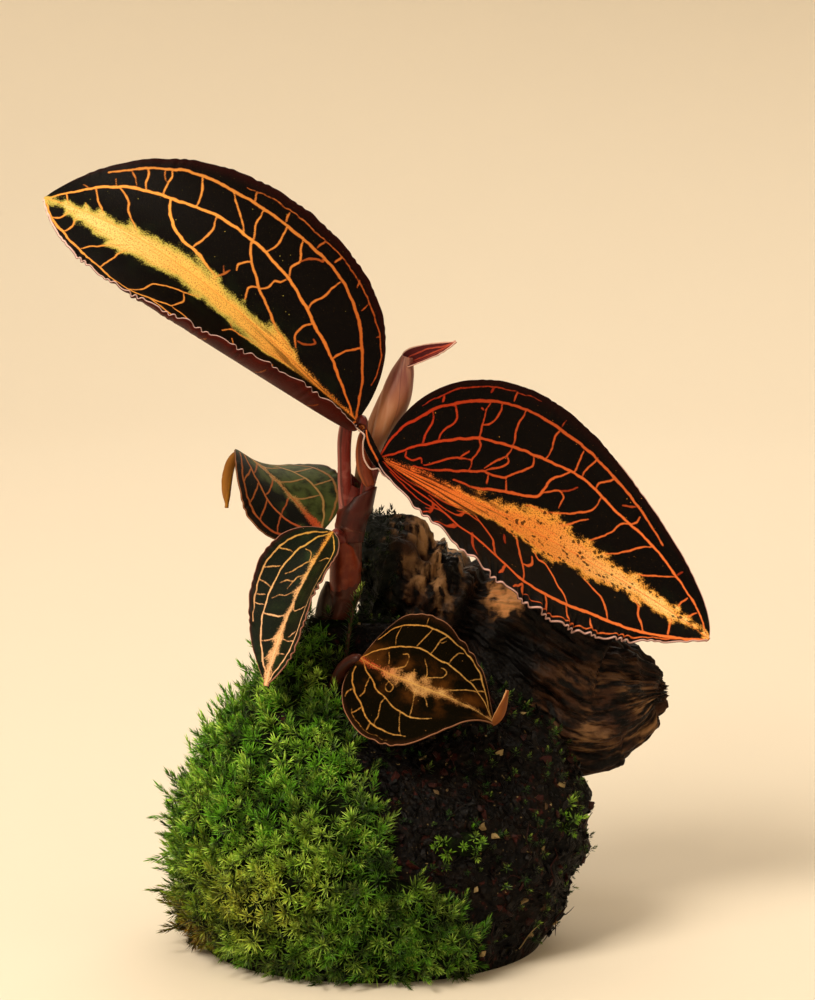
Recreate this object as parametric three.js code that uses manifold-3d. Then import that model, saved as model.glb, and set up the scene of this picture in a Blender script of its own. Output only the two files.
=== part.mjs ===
// A jewel orchid growing on a mossy clump of substrate that holds a chunk of wet bark.
// Millimetres. +X is to the right, +Y to the back, +Z up. The origin is the point of the
// clump's flat underside straight below the top of the stem. Each leaf blade is a midrib
// curve with a half on either side that folds up from it, cups, and waves along its edge.
import * as THREE from "three";
import { mergeVertices } from "three/addons/utils/BufferGeometryUtils.js";
import Module from "manifold-3d";

const wasm = await Module();
wasm.setup();

// ---------------------------------------------------------------- driving dimensions

const CLEARANCE = 0.3; // air between two pieces that touch on the living plant
const BLADE_THICKNESS = 0.7;
const WAVE_STARTS = 0.6; // the edge waves outside this share of a half's width
const CUP_STEPS = 8; // straight steps that follow a half's cupped section
const CROSS_SHARES = [
  { rows: 40, shares: [0.3, 0.6, 0.85, 1] }, // where a half's mesh lines run, by blade size
  { rows: 20, shares: [0.45, 0.8, 1] },
  { rows: 0, shares: [0.5, 1] },
];
const NARROWEST_HALF = 0.45; // half width left where a blade meets its petiole and at its tip
const NARROWEST_LOBE = 0.3;

// The clump: height, then how far its surface reaches to the left, right, front and back.
const CLUMP_AXIS = [3, -1];
const CLUMP_HEIGHT = 47;
const CLUMP_PROFILE = [
  [0, 25, 25, 22, 21],
  [6, 26, 28, 23, 22],
  [14, 27, 31, 22, 23],
  [22, 25, 31, 19, 23],
  [30, 21, 27, 12, 21],
  [37, 15, 19, 5.6, 17],
  [42, 12, 12, 3.4, 12],
  [45.5, 8.5, 6, 2.6, 7],
];

// The bark chunk: points along its middle, each with its radius.
const BARK_PATH = [
  [1.6, 13.5, 53, 6.2],
  [5.5, 13.8, 51, 8.8],
  [12, 14, 48, 9.6],
  [20, 14.5, 42.5, 9.8],
  [29, 14.5, 37, 10.2],
  [36.5, 14, 33, 9.9],
  [44, 13, 31.3, 8.4],
];
const BARK_GROOVE = { at: 0.4, width: 0.045, depth: 2.4 };

// The moss: its depth, and where its right-hand border runs on the front (height, x).
const MOSS_DEPTH = 3.2;
const MOSS_TUFT = { spacing: 4.6, rise: 1.9 };
const MOSS_BORDER = [
  [0, 18.5],
  [8, 17.5],
  [11, 14],
  [16, 6.5],
  [23, 4.3],
  [30, 1.5],
  [36, -2],
  [47, -3.5],
];

// Stem: rhizome in the clump, then the upright stem with a swelling at each node.
const STEM_PATH = [
  [7, 0.5, 31, 1.2],
  [1, 0, 33, 1.6],
  [-3, 0.8, 36, 1.8],
  [-4.2, 1.2, 40.5, 1.8],
  [-3.8, 1.1, 45, 1.8],
  [-3.1, 0.8, 48.8, 1.9],
  [-2.3, 0.4, 51.2, 2.2],
  [-0.7, 0, 53.6, 1.6],
  [-0.1, 0, 56, 1.7],
  [-0.1, 0, 58.8, 1.9],
  [0, 0, 60.4, 2.3],
  [0.3, 0, 61.2, 2.1],
  [0.7, 0, 63.2, 2.35],
  [1.0, 0, 65.2, 2.75],
];
const ROOTS = [
  { from: [-4, 1.2, 40], to: [-15, 5, 22], radius: 0.9, sag: 3 },
  { from: [-2.6, 0.6, 36], to: [-8, -10, 16], radius: 0.8, sag: -2 },
  { from: [1, 0, 33], to: [4, -9, 12], radius: 0.9, sag: 2 },
  { from: [4, 0, 32], to: [16, 5, 16], radius: 0.8, sag: 2 },
];

// base: where the blade leaves its petiole. heading, climb and roll are degrees at the base,
// in the middle and at the tip: which way the midrib runs seen from above, how steeply it
// rises, and how far the blade is turned about it. left and right are the two halves, seen
// from the base: full width, how fast it widens and narrows, fold at base and tip, and how
// far it cups, which an `edge` above 1 moves out towards its edge.
// petiole: points from inside the stem to the base, each with its radius.
const LEAVES = {
  leaf_upper_left: {
    base: [0.9, -1.8, 76],
    length: 55.5,
    heading: [185, 173, 161],
    climb: [44, 38, 12],
    roll: [-21, -26, -33],
    left: { width: 18.3, widen: 0.3, narrow: 0.75, fold: [11, -15], cup: 81, edge: 3 },
    right: { width: 18, widen: 0.5, narrow: 0.72, fold: [47, 6], cup: 58 },
    waves: 15,
    waveRise: 0.35,
    rows: 50,
    petiole: [
      [-0.4, -0.5, 63.4, 0.85],
      [-0.7, -0.8, 66.5, 1.0],
      [-0.8, -1.1, 70, 0.95],
      [-0.6, -1.5, 74, 1.05],
      [0.6, -1.8, 75.9, 0.9],
    ],
    colour: 0x16100d,
  },
  leaf_upper_right: {
    base: [4.0, -1.5, 70.7],
    length: 56.5,
    heading: [1, 16, -33],
    climb: [-23, -30, -31],
    roll: [29, 40, 18],
    left: { width: 18.5, widen: 0.42, narrow: 0.78, fold: [47, 6], cup: 16 },
    right: { width: 17.8, widen: 0.49, narrow: 0.79, fold: [24, -5], cup: -6 },
    waves: 15,
    waveRise: 0.4,
    rows: 50,
    petiole: [
      [1.9, -0.5, 63.4, 0.8],
      [2.5, -0.8, 66.5, 1.0],
      [3.2, -1.2, 69, 1.0],
      [4.3, -1.5, 70.6, 0.8],
    ],
    lobes: [
      {
        base: [3.7, -2.0, 70.6],
        length: 6.2,
        heading: [215, 200, 180],
        climb: [15, 65, 80],
        roll: [-20, -60, -60],
        left: { width: 0.9, widen: 0.4, narrow: 0.4, fold: [20, 20], cup: 40 },
        right: { width: 0.9, widen: 0.4, narrow: 0.4, fold: [20, 20], cup: 40 },
        rows: 10,
      },
    ],
    colour: 0x18100d,
  },
  leaf_back_left: {
    base: [-4.4, 7.4, 58.4],
    length: 17.5,
    heading: [164, 158, 151],
    climb: [45, 43, 21],
    roll: [-27, -12, 30],
    left: { width: 9.7, widen: 0.5, narrow: 0.63, fold: [6, -1], cup: -9 },
    right: { width: 10.0, widen: 0.5, narrow: 0.62, fold: [24, -8], cup: -8 },
    waves: 4,
    waveRise: 0.25,
    rows: 28,
    petiole: [
      [-0.3, 0.8, 55.4, 0.7],
      [-1.6, 3.6, 56.4, 0.8],
      [-4.2, 7.2, 58.2, 0.7],
    ],
    lobes: [
      {
        base: [-16.3, 12.3, 69.5],
        length: 8.6,
        heading: [185, 190, 200],
        climb: [-60, -78, -86],
        roll: [30, 60, 90],
        left: { width: 1.3, widen: 0.4, narrow: 0.8, fold: [30, 30], cup: 30 },
        right: { width: 1.3, widen: 0.4, narrow: 0.8, fold: [30, 30], cup: 30 },
        rows: 10,
      },
    ],
    colour: 0x2a3325,
  },
  leaf_front_left: {
    base: [-2.3, -3.1, 60.4],
    length: 24,
    heading: [204, 217, 232],
    climb: [-54, -60, -68],
    roll: [-28, 2, -8],
    left: { width: 8.2, widen: 0.65, narrow: 1.03, fold: [18, 3], cup: 18 },
    right: { width: 7.9, widen: 0.61, narrow: 1.05, fold: [31, 9], cup: 17 },
    waves: 6,
    waveRise: 0.25,
    rows: 34,
    petiole: [
      [-0.6, -0.8, 58.2, 0.7],
      [-1.5, -2.1, 59.6, 0.85],
      [-2.3, -3.0, 60.3, 0.75],
    ],
    colour: 0x222b1a,
  },
  leaf_lower_front: {
    base: [1.6, -9.0, 43.3],
    length: 21.5,
    heading: [-31, -16, -22],
    climb: [-25, -18, -35],
    roll: [41, 59, 0],
    left: { width: 9.9, widen: 0.4, narrow: 0.77, fold: [15, -9], cup: -1 },
    right: { width: 10.4, widen: 0.44, narrow: 0.75, fold: [16, 25], cup: -9 },
    waves: 5,
    waveRise: 0.35,
    rows: 32,
    petiole: [
      [-2.6, -5.5, 38, 0.7],
      [-1.2, -7, 41.2, 0.85],
      [0.3, -8.2, 42.9, 0.8],
      [1.7, -9, 43.3, 0.7],
    ],
    lobes: [
      {
        base: [20.1, -15.6, 35.4],
        length: 5.6,
        heading: [-10, 10, 30],
        climb: [20, 75, 80],
        roll: [0, -20, -30],
        left: { width: 1.1, widen: 0.4, narrow: 0.8, fold: [35, 20], cup: 20 },
        right: { width: 1.1, widen: 0.4, narrow: 0.8, fold: [35, 20], cup: 20 },
        rows: 9,
      },
    ],
    colour: 0x40341a,
  },
};

// The youngest leaf: a roll that opens into a pointed flap.
const ROLLED_LEAF = {
  roll: [
    [0.9, 1.1, 63.6, 0.75],
    [1.6, 2.2, 67, 1.2],
    [2.6, 2.9, 71, 1.7],
    [4.2, 3.3, 74.6, 2.2],
    [6.2, 3.8, 78.4, 2.55],
    [7.5, 4.0, 82, 1.85],
    [8.2, 4.0, 84.6, 0.9],
  ],
  flap: {
    base: [7.9, 4.0, 83.3],
    length: 8.1,
    heading: [8, 8, 5],
    climb: [24, 22, 35],
    roll: [40, 40, 40],
    left: { width: 2.1, widen: 0.2, narrow: 0.8, fold: [35, 30], cup: 10 },
    right: { width: 2.1, widen: 0.2, narrow: 0.8, fold: [35, 30], cup: 10 },
    rows: 10,
  },
};

const TALL_MOSS = {
  path: [
    [-0.8, -4.4, 38.5, 0.55],
    [-0.4, -4.8, 44, 0.55],
    [0.5, -4.8, 49.5, 0.5],
    [1.9, -4.6, 53.2, 0.35],
  ],
  leaflets: 20,
  leafletLength: 2.1,
  leafletRadius: 0.42,
};
const MOSS_PATCHES = {
  moss_patch_front: { at: [15.5, -18.5, 19], reach: [5, 3.2, 2.8] },
  moss_patch_right: { at: [30.5, -7, 19.5], reach: [3, 4, 3.4] },
};

// ---------------------------------------------------------------- small mathematics

const radians = (degrees) => (degrees * Math.PI) / 180;
const smooth = (low, high, x) => THREE.MathUtils.smoothstep(x, low, high);

// The curve through a value at the base, in the middle and at the tip.
function alongLeaf([base, middle, tip], u) {
  return (
    base * (1 - u) * (1 - 2 * u) + 4 * middle * u * (1 - u) + tip * u * (2 * u - 1)
  );
}

// Reads column `column` of rows that rise in their first column.
function readTable(rows, at, column = 1) {
  const next = rows.findIndex((row) => row[0] >= at);
  if (next === 0) return rows[0][column];
  if (next < 0) return rows[rows.length - 1][column];
  const [low, high] = [rows[next - 1], rows[next]];
  const share = (at - low[0]) / (high[0] - low[0]);
  return THREE.MathUtils.lerp(low[column], high[column], share);
}

// A seeded draw in 0..1, the same on every run.
function seededDraw(seed) {
  let state = seed;
  return () => {
    state = (state * 1664525 + 1013904223) % 4294967296;
    return state / 4294967296;
  };
}

// Gentle lumps of about one unit, from crossed waves of the given length.
function lumps(x, y, z, wavelength) {
  const k = (2 * Math.PI) / wavelength;
  return (
    0.5 * Math.sin(k * (x + 0.6 * y) + 1.3) * Math.cos(k * (z - 0.3 * x)) +
    0.3 * Math.sin(1.9 * k * (y - 0.4 * z) + 0.4) +
    0.2 * Math.cos(2.7 * k * (x + 0.7 * z) + 2.1)
  );
}

// ---------------------------------------------------------------- solids

// A closed, indexed triangle mesh as a manifold-3d solid.
function solidFrom(positions, triangles) {
  const geometry = new THREE.BufferGeometry();
  geometry.setAttribute("position", new THREE.Float32BufferAttribute(positions, 3));
  geometry.setIndex(triangles);
  const merged = mergeVertices(geometry, 1e-3);
  return new wasm.Manifold(
    new wasm.Mesh({
      numProp: 3,
      vertProperties: merged.attributes.position.array,
      triVerts: new Uint32Array(merged.index.array),
    }),
  );
}

// The largest of a solid's bodies: scraps that a cut leaves are dropped.
function mainBody(solid) {
  const bodies = solid.decompose();
  return bodies.reduce((a, b) => (a.volume() > b.volume() ? a : b));
}

function meshFrom(name, solid, colour, roughness) {
  const { vertProperties, triVerts } = mainBody(solid).getMesh();
  const geometry = new THREE.BufferGeometry();
  geometry.setAttribute("position", new THREE.BufferAttribute(vertProperties, 3));
  geometry.setIndex(new THREE.BufferAttribute(triVerts, 1));
  geometry.computeVertexNormals();
  const material = new THREE.MeshStandardMaterial({ color: colour, roughness });
  const mesh = new THREE.Mesh(geometry, material);
  mesh.name = name;
  return mesh;
}

// A solid from rings of points that all have the same count, capped at both ends.
function solidFromRings(rings) {
  const sides = rings[0].length;
  const positions = rings.flat().flatMap((p) => p.toArray());
  const triangles = [];
  for (let ring = 0; ring + 1 < rings.length; ring++)
    for (let side = 0; side < sides; side++) {
      const a = ring * sides + side;
      const b = ring * sides + ((side + 1) % sides);
      triangles.push(a, b, b + sides, a, b + sides, a + sides);
    }
  const last = rings.length - 1;
  [
    [0, 1],
    [last, -1],
  ].forEach(([ring, turn]) => {
    const middle = positions.length / 3;
    const centre = new THREE.Vector3();
    rings[ring].forEach((p) => centre.addScaledVector(p, 1 / sides));
    positions.push(...centre.toArray());
    for (let side = 0; side < sides; side++) {
      const a = ring * sides + side;
      const b = ring * sides + ((side + 1) % sides);
      triangles.push(middle, ...(turn > 0 ? [b, a] : [a, b]));
    }
  });
  return solidFrom(positions, triangles);
}

// A round tube along points [x, y, z, radius]. `extra` thickens and lengthens it, and
// `relief(along, angle, point)` adds to its radius.
function tube(points, { sides = 8, steps = 3, extra = 0, relief = () => 0 } = {}) {
  const curve = new THREE.CatmullRomCurve3(
    points.map(([x, y, z]) => new THREE.Vector3(x, y, z)),
    false,
    "centripetal",
  );
  const count = (points.length - 1) * steps;
  let across = new THREE.Vector3(0.31, 0.95, 0.05);
  const rings = [];
  for (let i = 0; i <= count; i++) {
    const t = i / count;
    const centre = curve.getPoint(t);
    const tangent = curve.getTangent(t);
    if (extra && i === 0) centre.addScaledVector(tangent, -extra);
    if (extra && i === count) centre.addScaledVector(tangent, extra);
    across.addScaledVector(tangent, -across.dot(tangent)).normalize();
    const side = new THREE.Vector3().crossVectors(tangent, across);
    const segment = Math.min(Math.floor(t * (points.length - 1)), points.length - 2);
    const share = t * (points.length - 1) - segment;
    const radius =
      THREE.MathUtils.lerp(points[segment][3], points[segment + 1][3], smooth(0, 1, share)) +
      extra;
    rings.push(
      Array.from({ length: sides }, (_, k) => {
        const angle = (2 * Math.PI * k) / sides;
        const out = across
          .clone()
          .multiplyScalar(Math.cos(angle))
          .addScaledVector(side, Math.sin(angle));
        const reach = radius + relief(t, angle, centre);
        return centre.clone().addScaledVector(out, reach);
      }),
    );
  }
  return solidFromRings(rings);
}

// ---------------------------------------------------------------- leaves

// The midrib as frames: place, direction, leftward and upward, one for each row.
function midribFrames(leaf) {
  const frames = [];
  const place = new THREE.Vector3(...leaf.base);
  let before = null;
  for (let row = 0; row <= leaf.rows; row++) {
    const u = row / leaf.rows;
    const heading = radians(alongLeaf(leaf.heading, u));
    const climb = radians(alongLeaf(leaf.climb, u));
    const roll = radians(alongLeaf(leaf.roll, u));
    const along = new THREE.Vector3(
      Math.cos(climb) * Math.cos(heading),
      Math.cos(climb) * Math.sin(heading),
      Math.sin(climb),
    );
    if (before) {
      const step = before.clone().add(along).multiplyScalar(leaf.length / leaf.rows / 2);
      place.add(step);
    }
    before = along;
    const level = new THREE.Vector3(-Math.sin(heading), Math.cos(heading), 0);
    const upright = new THREE.Vector3().crossVectors(along, level);
    const left = level.clone().multiplyScalar(Math.cos(roll));
    left.addScaledVector(upright, Math.sin(roll));
    const up = upright.clone().multiplyScalar(Math.cos(roll));
    up.addScaledVector(level, -Math.sin(roll));
    frames.push({ u, place: place.clone(), along, left, up });
  }
  return frames;
}

// Half width of a half leaf at u, in millimetres.
function halfWidth(half, u, narrowest) {
  const peak = half.widen / (half.widen + half.narrow);
  const top = peak ** half.widen * (1 - peak) ** half.narrow;
  const shape = (u ** half.widen * (1 - u) ** half.narrow) / top;
  return Math.max(half.width * shape, narrowest);
}

// A point of the blade's middle surface, `across` from -1 (right edge) to 1 (left edge).
function bladePoint(leaf, frame, across) {
  const half = across < 0 ? leaf.right : leaf.left;
  const narrowest = half.width > 4 ? NARROWEST_HALF : NARROWEST_LOBE;
  const width = halfWidth(half, frame.u, narrowest);
  const fold = radians(THREE.MathUtils.lerp(half.fold[0], half.fold[1], frame.u));
  const share = Math.abs(across);
  const step = (width * share) / CUP_STEPS;
  const point = frame.place.clone();
  for (let k = 0; k < CUP_STEPS; k++) {
    const middle = (share * (k + 0.5)) / CUP_STEPS;
    const cupped = radians(half.cup) * (width / half.width) * middle ** (half.edge ?? 1);
    point.addScaledVector(frame.left, Math.sign(across) * step * Math.cos(fold + cupped));
    point.addScaledVector(frame.up, step * Math.sin(fold + cupped));
  }
  if (leaf.waves && share > WAVE_STARTS) {
    const fade = ((share - WAVE_STARTS) / (1 - WAVE_STARTS)) ** 2 * Math.sin(Math.PI * frame.u);
    const wave = Math.sin(2 * Math.PI * leaf.waves * frame.u + (across < 0 ? 1.7 : 0));
    point.addScaledVector(frame.up, leaf.waveRise * fade * wave);
  }
  return point;
}

// A blade as one thin closed solid. Both faces are split into triangles alike.
function blade(leaf) {
  const shares = CROSS_SHARES.find(({ rows }) => leaf.rows > rows).shares;
  const stations = [...shares.map((s) => -s).reverse(), 0, ...shares];
  const frames = midribFrames(leaf);
  const grid = frames.map((frame) => stations.map((s) => bladePoint(leaf, frame, s)));
  const columns = stations.length;
  const at = (row, column) =>
    grid[THREE.MathUtils.clamp(row, 0, leaf.rows)][
      THREE.MathUtils.clamp(column, 0, columns - 1)
    ];
  const positions = [];
  [1, -1].forEach((side) =>
    grid.forEach((points, row) =>
      points.forEach((point, column) => {
        const down = at(row + 1, column).clone().sub(at(row - 1, column));
        const over = at(row, column + 1).clone().sub(at(row, column - 1));
        const normal = down.cross(over).normalize();
        if (normal.dot(frames[row].up) < 0.2) normal.copy(frames[row].up);
        const shifted = point.clone().addScaledVector(normal, (side * BLADE_THICKNESS) / 2);
        positions.push(...shifted.toArray());
      }),
    ),
  );
  const triangles = [];
  const face = (a, b, c, d) => triangles.push(a, b, c, a, c, d);
  const under = grid.length * columns;
  const index = (row, column) => row * columns + column;
  for (let row = 0; row < leaf.rows; row++) {
    for (let column = 0; column + 1 < columns; column++) {
      const [a, b] = [index(row, column), index(row, column + 1)];
      const [d, c] = [index(row + 1, column), index(row + 1, column + 1)];
      triangles.push(a, d, b, b, d, c);
      triangles.push(under + a, under + b, under + d, under + b, under + c, under + d);
    }
    const [r0, r1] = [index(row, 0), index(row + 1, 0)];
    const [l0, l1] = [index(row, columns - 1), index(row + 1, columns - 1)];
    face(r0, under + r0, under + r1, r1);
    face(l0, l1, under + l1, under + l0);
  }
  for (let column = 0; column + 1 < columns; column++) {
    const [a, b] = [index(0, column), index(0, column + 1)];
    const [c, d] = [index(leaf.rows, column), index(leaf.rows, column + 1)];
    face(a, b, under + b, under + a);
    face(c, under + c, under + d, d);
  }
  return solidFrom(positions, triangles);
}

// A leaf as it grew: petiole, blade, and any lobe or curled tip.
function leafSolid(leaf) {
  let solid = blade(leaf).add(tube(leaf.petiole, { sides: 8, steps: 2 }));
  (leaf.lobes ?? []).forEach((lobe) => {
    solid = solid.add(blade(lobe));
  });
  return solid;
}

function rolledLeafSolid({ roll, flap }) {
  return tube(roll, { sides: 12, steps: 3 }).add(blade(flap));
}

// ---------------------------------------------------------------- stem

function stemSolid(extra = 0) {
  let solid = tube(STEM_PATH, { sides: 10, steps: 2, extra });
  ROOTS.forEach(({ from, to, radius, sag }) => {
    const middle = from.map((value, i) => (value + to[i]) / 2);
    middle[0] += sag;
    const path = [
      [...from, radius],
      [...middle, radius * 0.9],
      [...to, radius * 0.6],
    ];
    solid = solid.add(tube(path, { sides: 6, steps: 3, extra }));
  });
  return solid;
}

// ---------------------------------------------------------------- clump, bark and moss

// How far the clump's surface is from its axis at a height and an angle.
function clumpReach(height, angle) {
  const sideways = readTable(CLUMP_PROFILE, height, Math.cos(angle) < 0 ? 1 : 2);
  const lengthways = readTable(CLUMP_PROFILE, height, Math.sin(angle) < 0 ? 3 : 4);
  const c = Math.cos(angle) / sideways;
  const s = Math.sin(angle) / lengthways;
  return 1 / Math.hypot(c, s);
}

// A solid about the clump's axis, from rings at the given heights. reach(height, angle)
// is the distance from the axis, and the last height closes to a point.
function solidAboutAxis(heights, segments, reach) {
  const rings = heights.map((height) =>
    Array.from({ length: segments }, (_, k) => {
      const angle = (2 * Math.PI * k) / segments;
      const distance = reach(height, angle);
      return new THREE.Vector3(
        CLUMP_AXIS[0] + distance * Math.cos(angle),
        CLUMP_AXIS[1] + distance * Math.sin(angle),
        height,
      );
    }),
  );
  return solidFromRings(rings);
}

function clumpSolid(extra = 0) {
  const levels = [0, 3, 8, 13, 18, 22.5, 27, 31, 34.5, 37.5, 40, 42, 43.7, 45.2, 46.3];
  const heights = levels.map((level) => (level === 0 ? -2 * extra : level + extra));
  return solidAboutAxis([...heights, CLUMP_HEIGHT + extra], 34, (height, angle) => {
    const level = THREE.MathUtils.clamp(height - extra, 0, CLUMP_HEIGHT);
    const top = level > 46.5 ? 0.35 : 1;
    const reach = clumpReach(level, angle) * top;
    const x = reach * Math.cos(angle);
    const y = reach * Math.sin(angle);
    const rough = lumps(x, y, level, 19) * 1.2 + lumps(x, y, level, 8) * 0.5;
    const fade = smooth(0, 5, level) * smooth(CLUMP_HEIGHT, 38, level);
    return reach + rough * fade + extra;
  });
}

function barkSolid(extra = 0) {
  const relief = (along, angle, centre) => {
    const groove =
      -BARK_GROOVE.depth * Math.exp(-(((along - BARK_GROOVE.at) / BARK_GROOVE.width) ** 2));
    const ridges = 0.55 * Math.sin(9 * angle + 6 * along) * smooth(0.42, 0.6, along);
    const upright = 0.5 * Math.sin(95 * along + 2 * angle) * smooth(0.38, 0.25, along);
    const broad = 1.1 * lumps(centre.x, 9 * angle, 4 * along, 17);
    return groove + ridges + upright + broad;
  };
  return tube(BARK_PATH, { sides: 30, steps: 4, extra, relief });
}

// 1 where moss covers the clump, 0 where it is bare. It wraps the left side, and its border
// crosses the front.
function mossCover(x, y, height) {
  const border = y < 4 ? readTable(MOSS_BORDER, height) : -5 - 0.3 * (y - 4);
  return smooth(-1.6, 2.2, border - x);
}

// Points spread evenly over the clump's sides, each the middle of a tuft.
function tuftPlaces() {
  const draw = seededDraw(11);
  const places = [];
  for (let height = 2; height < CLUMP_HEIGHT; height += MOSS_TUFT.spacing * 0.85) {
    const girth = 2 * Math.PI * clumpReach(height, Math.PI * 1.25);
    const count = Math.max(3, Math.round(girth / MOSS_TUFT.spacing));
    for (let k = 0; k < count; k++) {
      const angle = (2 * Math.PI * (k + 0.6 * draw())) / count;
      const level = height + (draw() - 0.5) * MOSS_TUFT.spacing * 0.6;
      const reach = clumpReach(level, angle);
      places.push([reach * Math.cos(angle), reach * Math.sin(angle), level]);
    }
  }
  return places;
}

function mossSolid() {
  const tufts = tuftPlaces();
  const heights = [];
  for (let level = 1.2; level < CLUMP_HEIGHT + 1.4; level += 2) heights.push(level);
  return solidAboutAxis(heights, 74, (height, angle) => {
    const level = Math.min(height, CLUMP_HEIGHT - 0.2);
    const inner = clumpReach(level, angle);
    const [x, y] = [inner * Math.cos(angle), inner * Math.sin(angle)];
    const cover = mossCover(x + CLUMP_AXIS[0], y + CLUMP_AXIS[1], level);
    const nearest = Math.min(
      ...tufts.map(([tx, ty, tz]) => Math.hypot(x - tx, y - ty, level - tz)),
    );
    const tuft = MOSS_TUFT.rise * Math.max(0, 1 - nearest / (0.62 * MOSS_TUFT.spacing));
    const underside = smooth(-1, 4, height);
    const outer = inner + MOSS_DEPTH * underside + tuft + 0.9 * lumps(x, y, level, 14);
    const sunk = Math.max(inner - 3, 1);
    return THREE.MathUtils.lerp(sunk, outer, cover);
  });
}

// A low mound of moss about a point of the clump's surface.
function mossPatchSolid({ at, reach }) {
  const draw = seededDraw(5);
  const sphere = new THREE.IcosahedronGeometry(1, 2);
  const position = sphere.getAttribute("position");
  const bumps = new Map();
  for (let i = 0; i < position.count; i++) {
    const point = new THREE.Vector3().fromBufferAttribute(position, i);
    const key = point.toArray().map((v) => v.toFixed(3)).join();
    if (!bumps.has(key)) bumps.set(key, 0.85 + 0.35 * draw());
    point.multiplyScalar(bumps.get(key));
    position.setXYZ(
      i,
      at[0] + point.x * reach[0],
      at[1] + point.y * reach[1],
      at[2] + point.z * reach[2],
    );
  }
  sphere.deleteAttribute("normal");
  sphere.deleteAttribute("uv");
  const merged = mergeVertices(sphere, 1e-3);
  return solidFrom(merged.attributes.position.array, [...merged.index.array]);
}

// A slim stem with narrow pointed leaflets set round it in a spiral.
function tallMossSolid({ path, leaflets, leafletLength, leafletRadius }) {
  const turn = radians(137.5);
  const curve = new THREE.CatmullRomCurve3(path.map((p) => new THREE.Vector3(...p)));
  let solid = tube(path, { sides: 6, steps: 3 });
  for (let k = 0; k < leaflets; k++) {
    const foot = curve.getPoint(0.32 + (0.66 * k) / leaflets);
    const lean = new THREE.Vector3(Math.cos(k * turn), Math.sin(k * turn), 0.9).normalize();
    const length = leafletLength * (1 - (0.35 * k) / leaflets);
    const needle = new THREE.ConeGeometry(leafletRadius, length, 3);
    needle.translate(0, length / 2 - 0.1, 0);
    needle.applyQuaternion(
      new THREE.Quaternion().setFromUnitVectors(new THREE.Vector3(0, 1, 0), lean),
    );
    needle.translate(foot.x, foot.y, foot.z);
    needle.deleteAttribute("normal");
    needle.deleteAttribute("uv");
    const merged = mergeVertices(needle, 1e-3);
    solid = solid.add(solidFrom(merged.attributes.position.array, [...merged.index.array]));
  }
  return solid;
}

// ---------------------------------------------------------------- the orchid

function buildOrchid() {
  const group = new THREE.Group();
  const add = (name, solid, colour, roughness) =>
    group.add(meshFrom(name, solid, colour, roughness));

  const petioleHoles = Object.values(LEAVES)
    .map((leaf) => tube(leaf.petiole, { sides: 8, steps: 2, extra: CLEARANCE }))
    .concat(tube(ROLLED_LEAF.roll, { sides: 12, steps: 3, extra: CLEARANCE }));
  const cut = (solid, cutters) => cutters.reduce((left, tool) => left.subtract(tool), solid);

  const stem = cut(stemSolid(), petioleHoles);
  const stemHole = stemSolid(CLEARANCE);
  const barkHole = barkSolid(CLEARANCE);
  const tallMossHole = tube(TALL_MOSS.path, { sides: 6, extra: CLEARANCE });
  const lowerPetioleHole = petioleHoles[Object.keys(LEAVES).indexOf("leaf_lower_front")];
  const plantHoles = [stemHole, lowerPetioleHole, tallMossHole];

  add("substrate_clump", cut(clumpSolid(), [barkHole, ...plantHoles]), 0x1d120c, 0.8);
  add("bark_chunk", cut(barkSolid(), [stemHole]), 0x3a261a, 0.6);

  const clumpHole = clumpSolid(CLEARANCE);
  const moss = cut(mossSolid(), [clumpHole, barkHole, ...plantHoles]);
  add("moss_cushion", moss, 0x3f6b1c, 0.9);
  Object.entries(MOSS_PATCHES).forEach(([name, patch]) => {
    add(name, cut(mossPatchSolid(patch), [clumpHole, barkHole, moss]), 0x4a7a22, 0.9);
  });
  add("moss_shoot_tall", tallMossSolid(TALL_MOSS), 0x2c4a14, 0.9);

  add("stem", stem, 0x7a3a2e, 0.45);
  Object.entries(LEAVES).forEach(([name, leaf]) => {
    add(name, leafSolid(leaf), leaf.colour, 0.5);
  });
  add("leaf_new_rolled", rolledLeafSolid(ROLLED_LEAF), 0xa06a50, 0.45);
  return group;
}

export default buildOrchid();
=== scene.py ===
"""A young jewel orchid rooted in a mossy clump of substrate that holds a chunk of wet bark.

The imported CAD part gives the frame. Each class makes one sub-assembly of the plant, or of what it
grows on, from the sizes of the part's source in millimetres, and dresses it in its own finish.
"""

from __future__ import annotations

import logging
import math
from collections.abc import Callable
from dataclasses import dataclass
from enum import Enum

import bmesh
import bpy
import numpy as np
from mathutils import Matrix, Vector
from mathutils import noise as simplex

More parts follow.
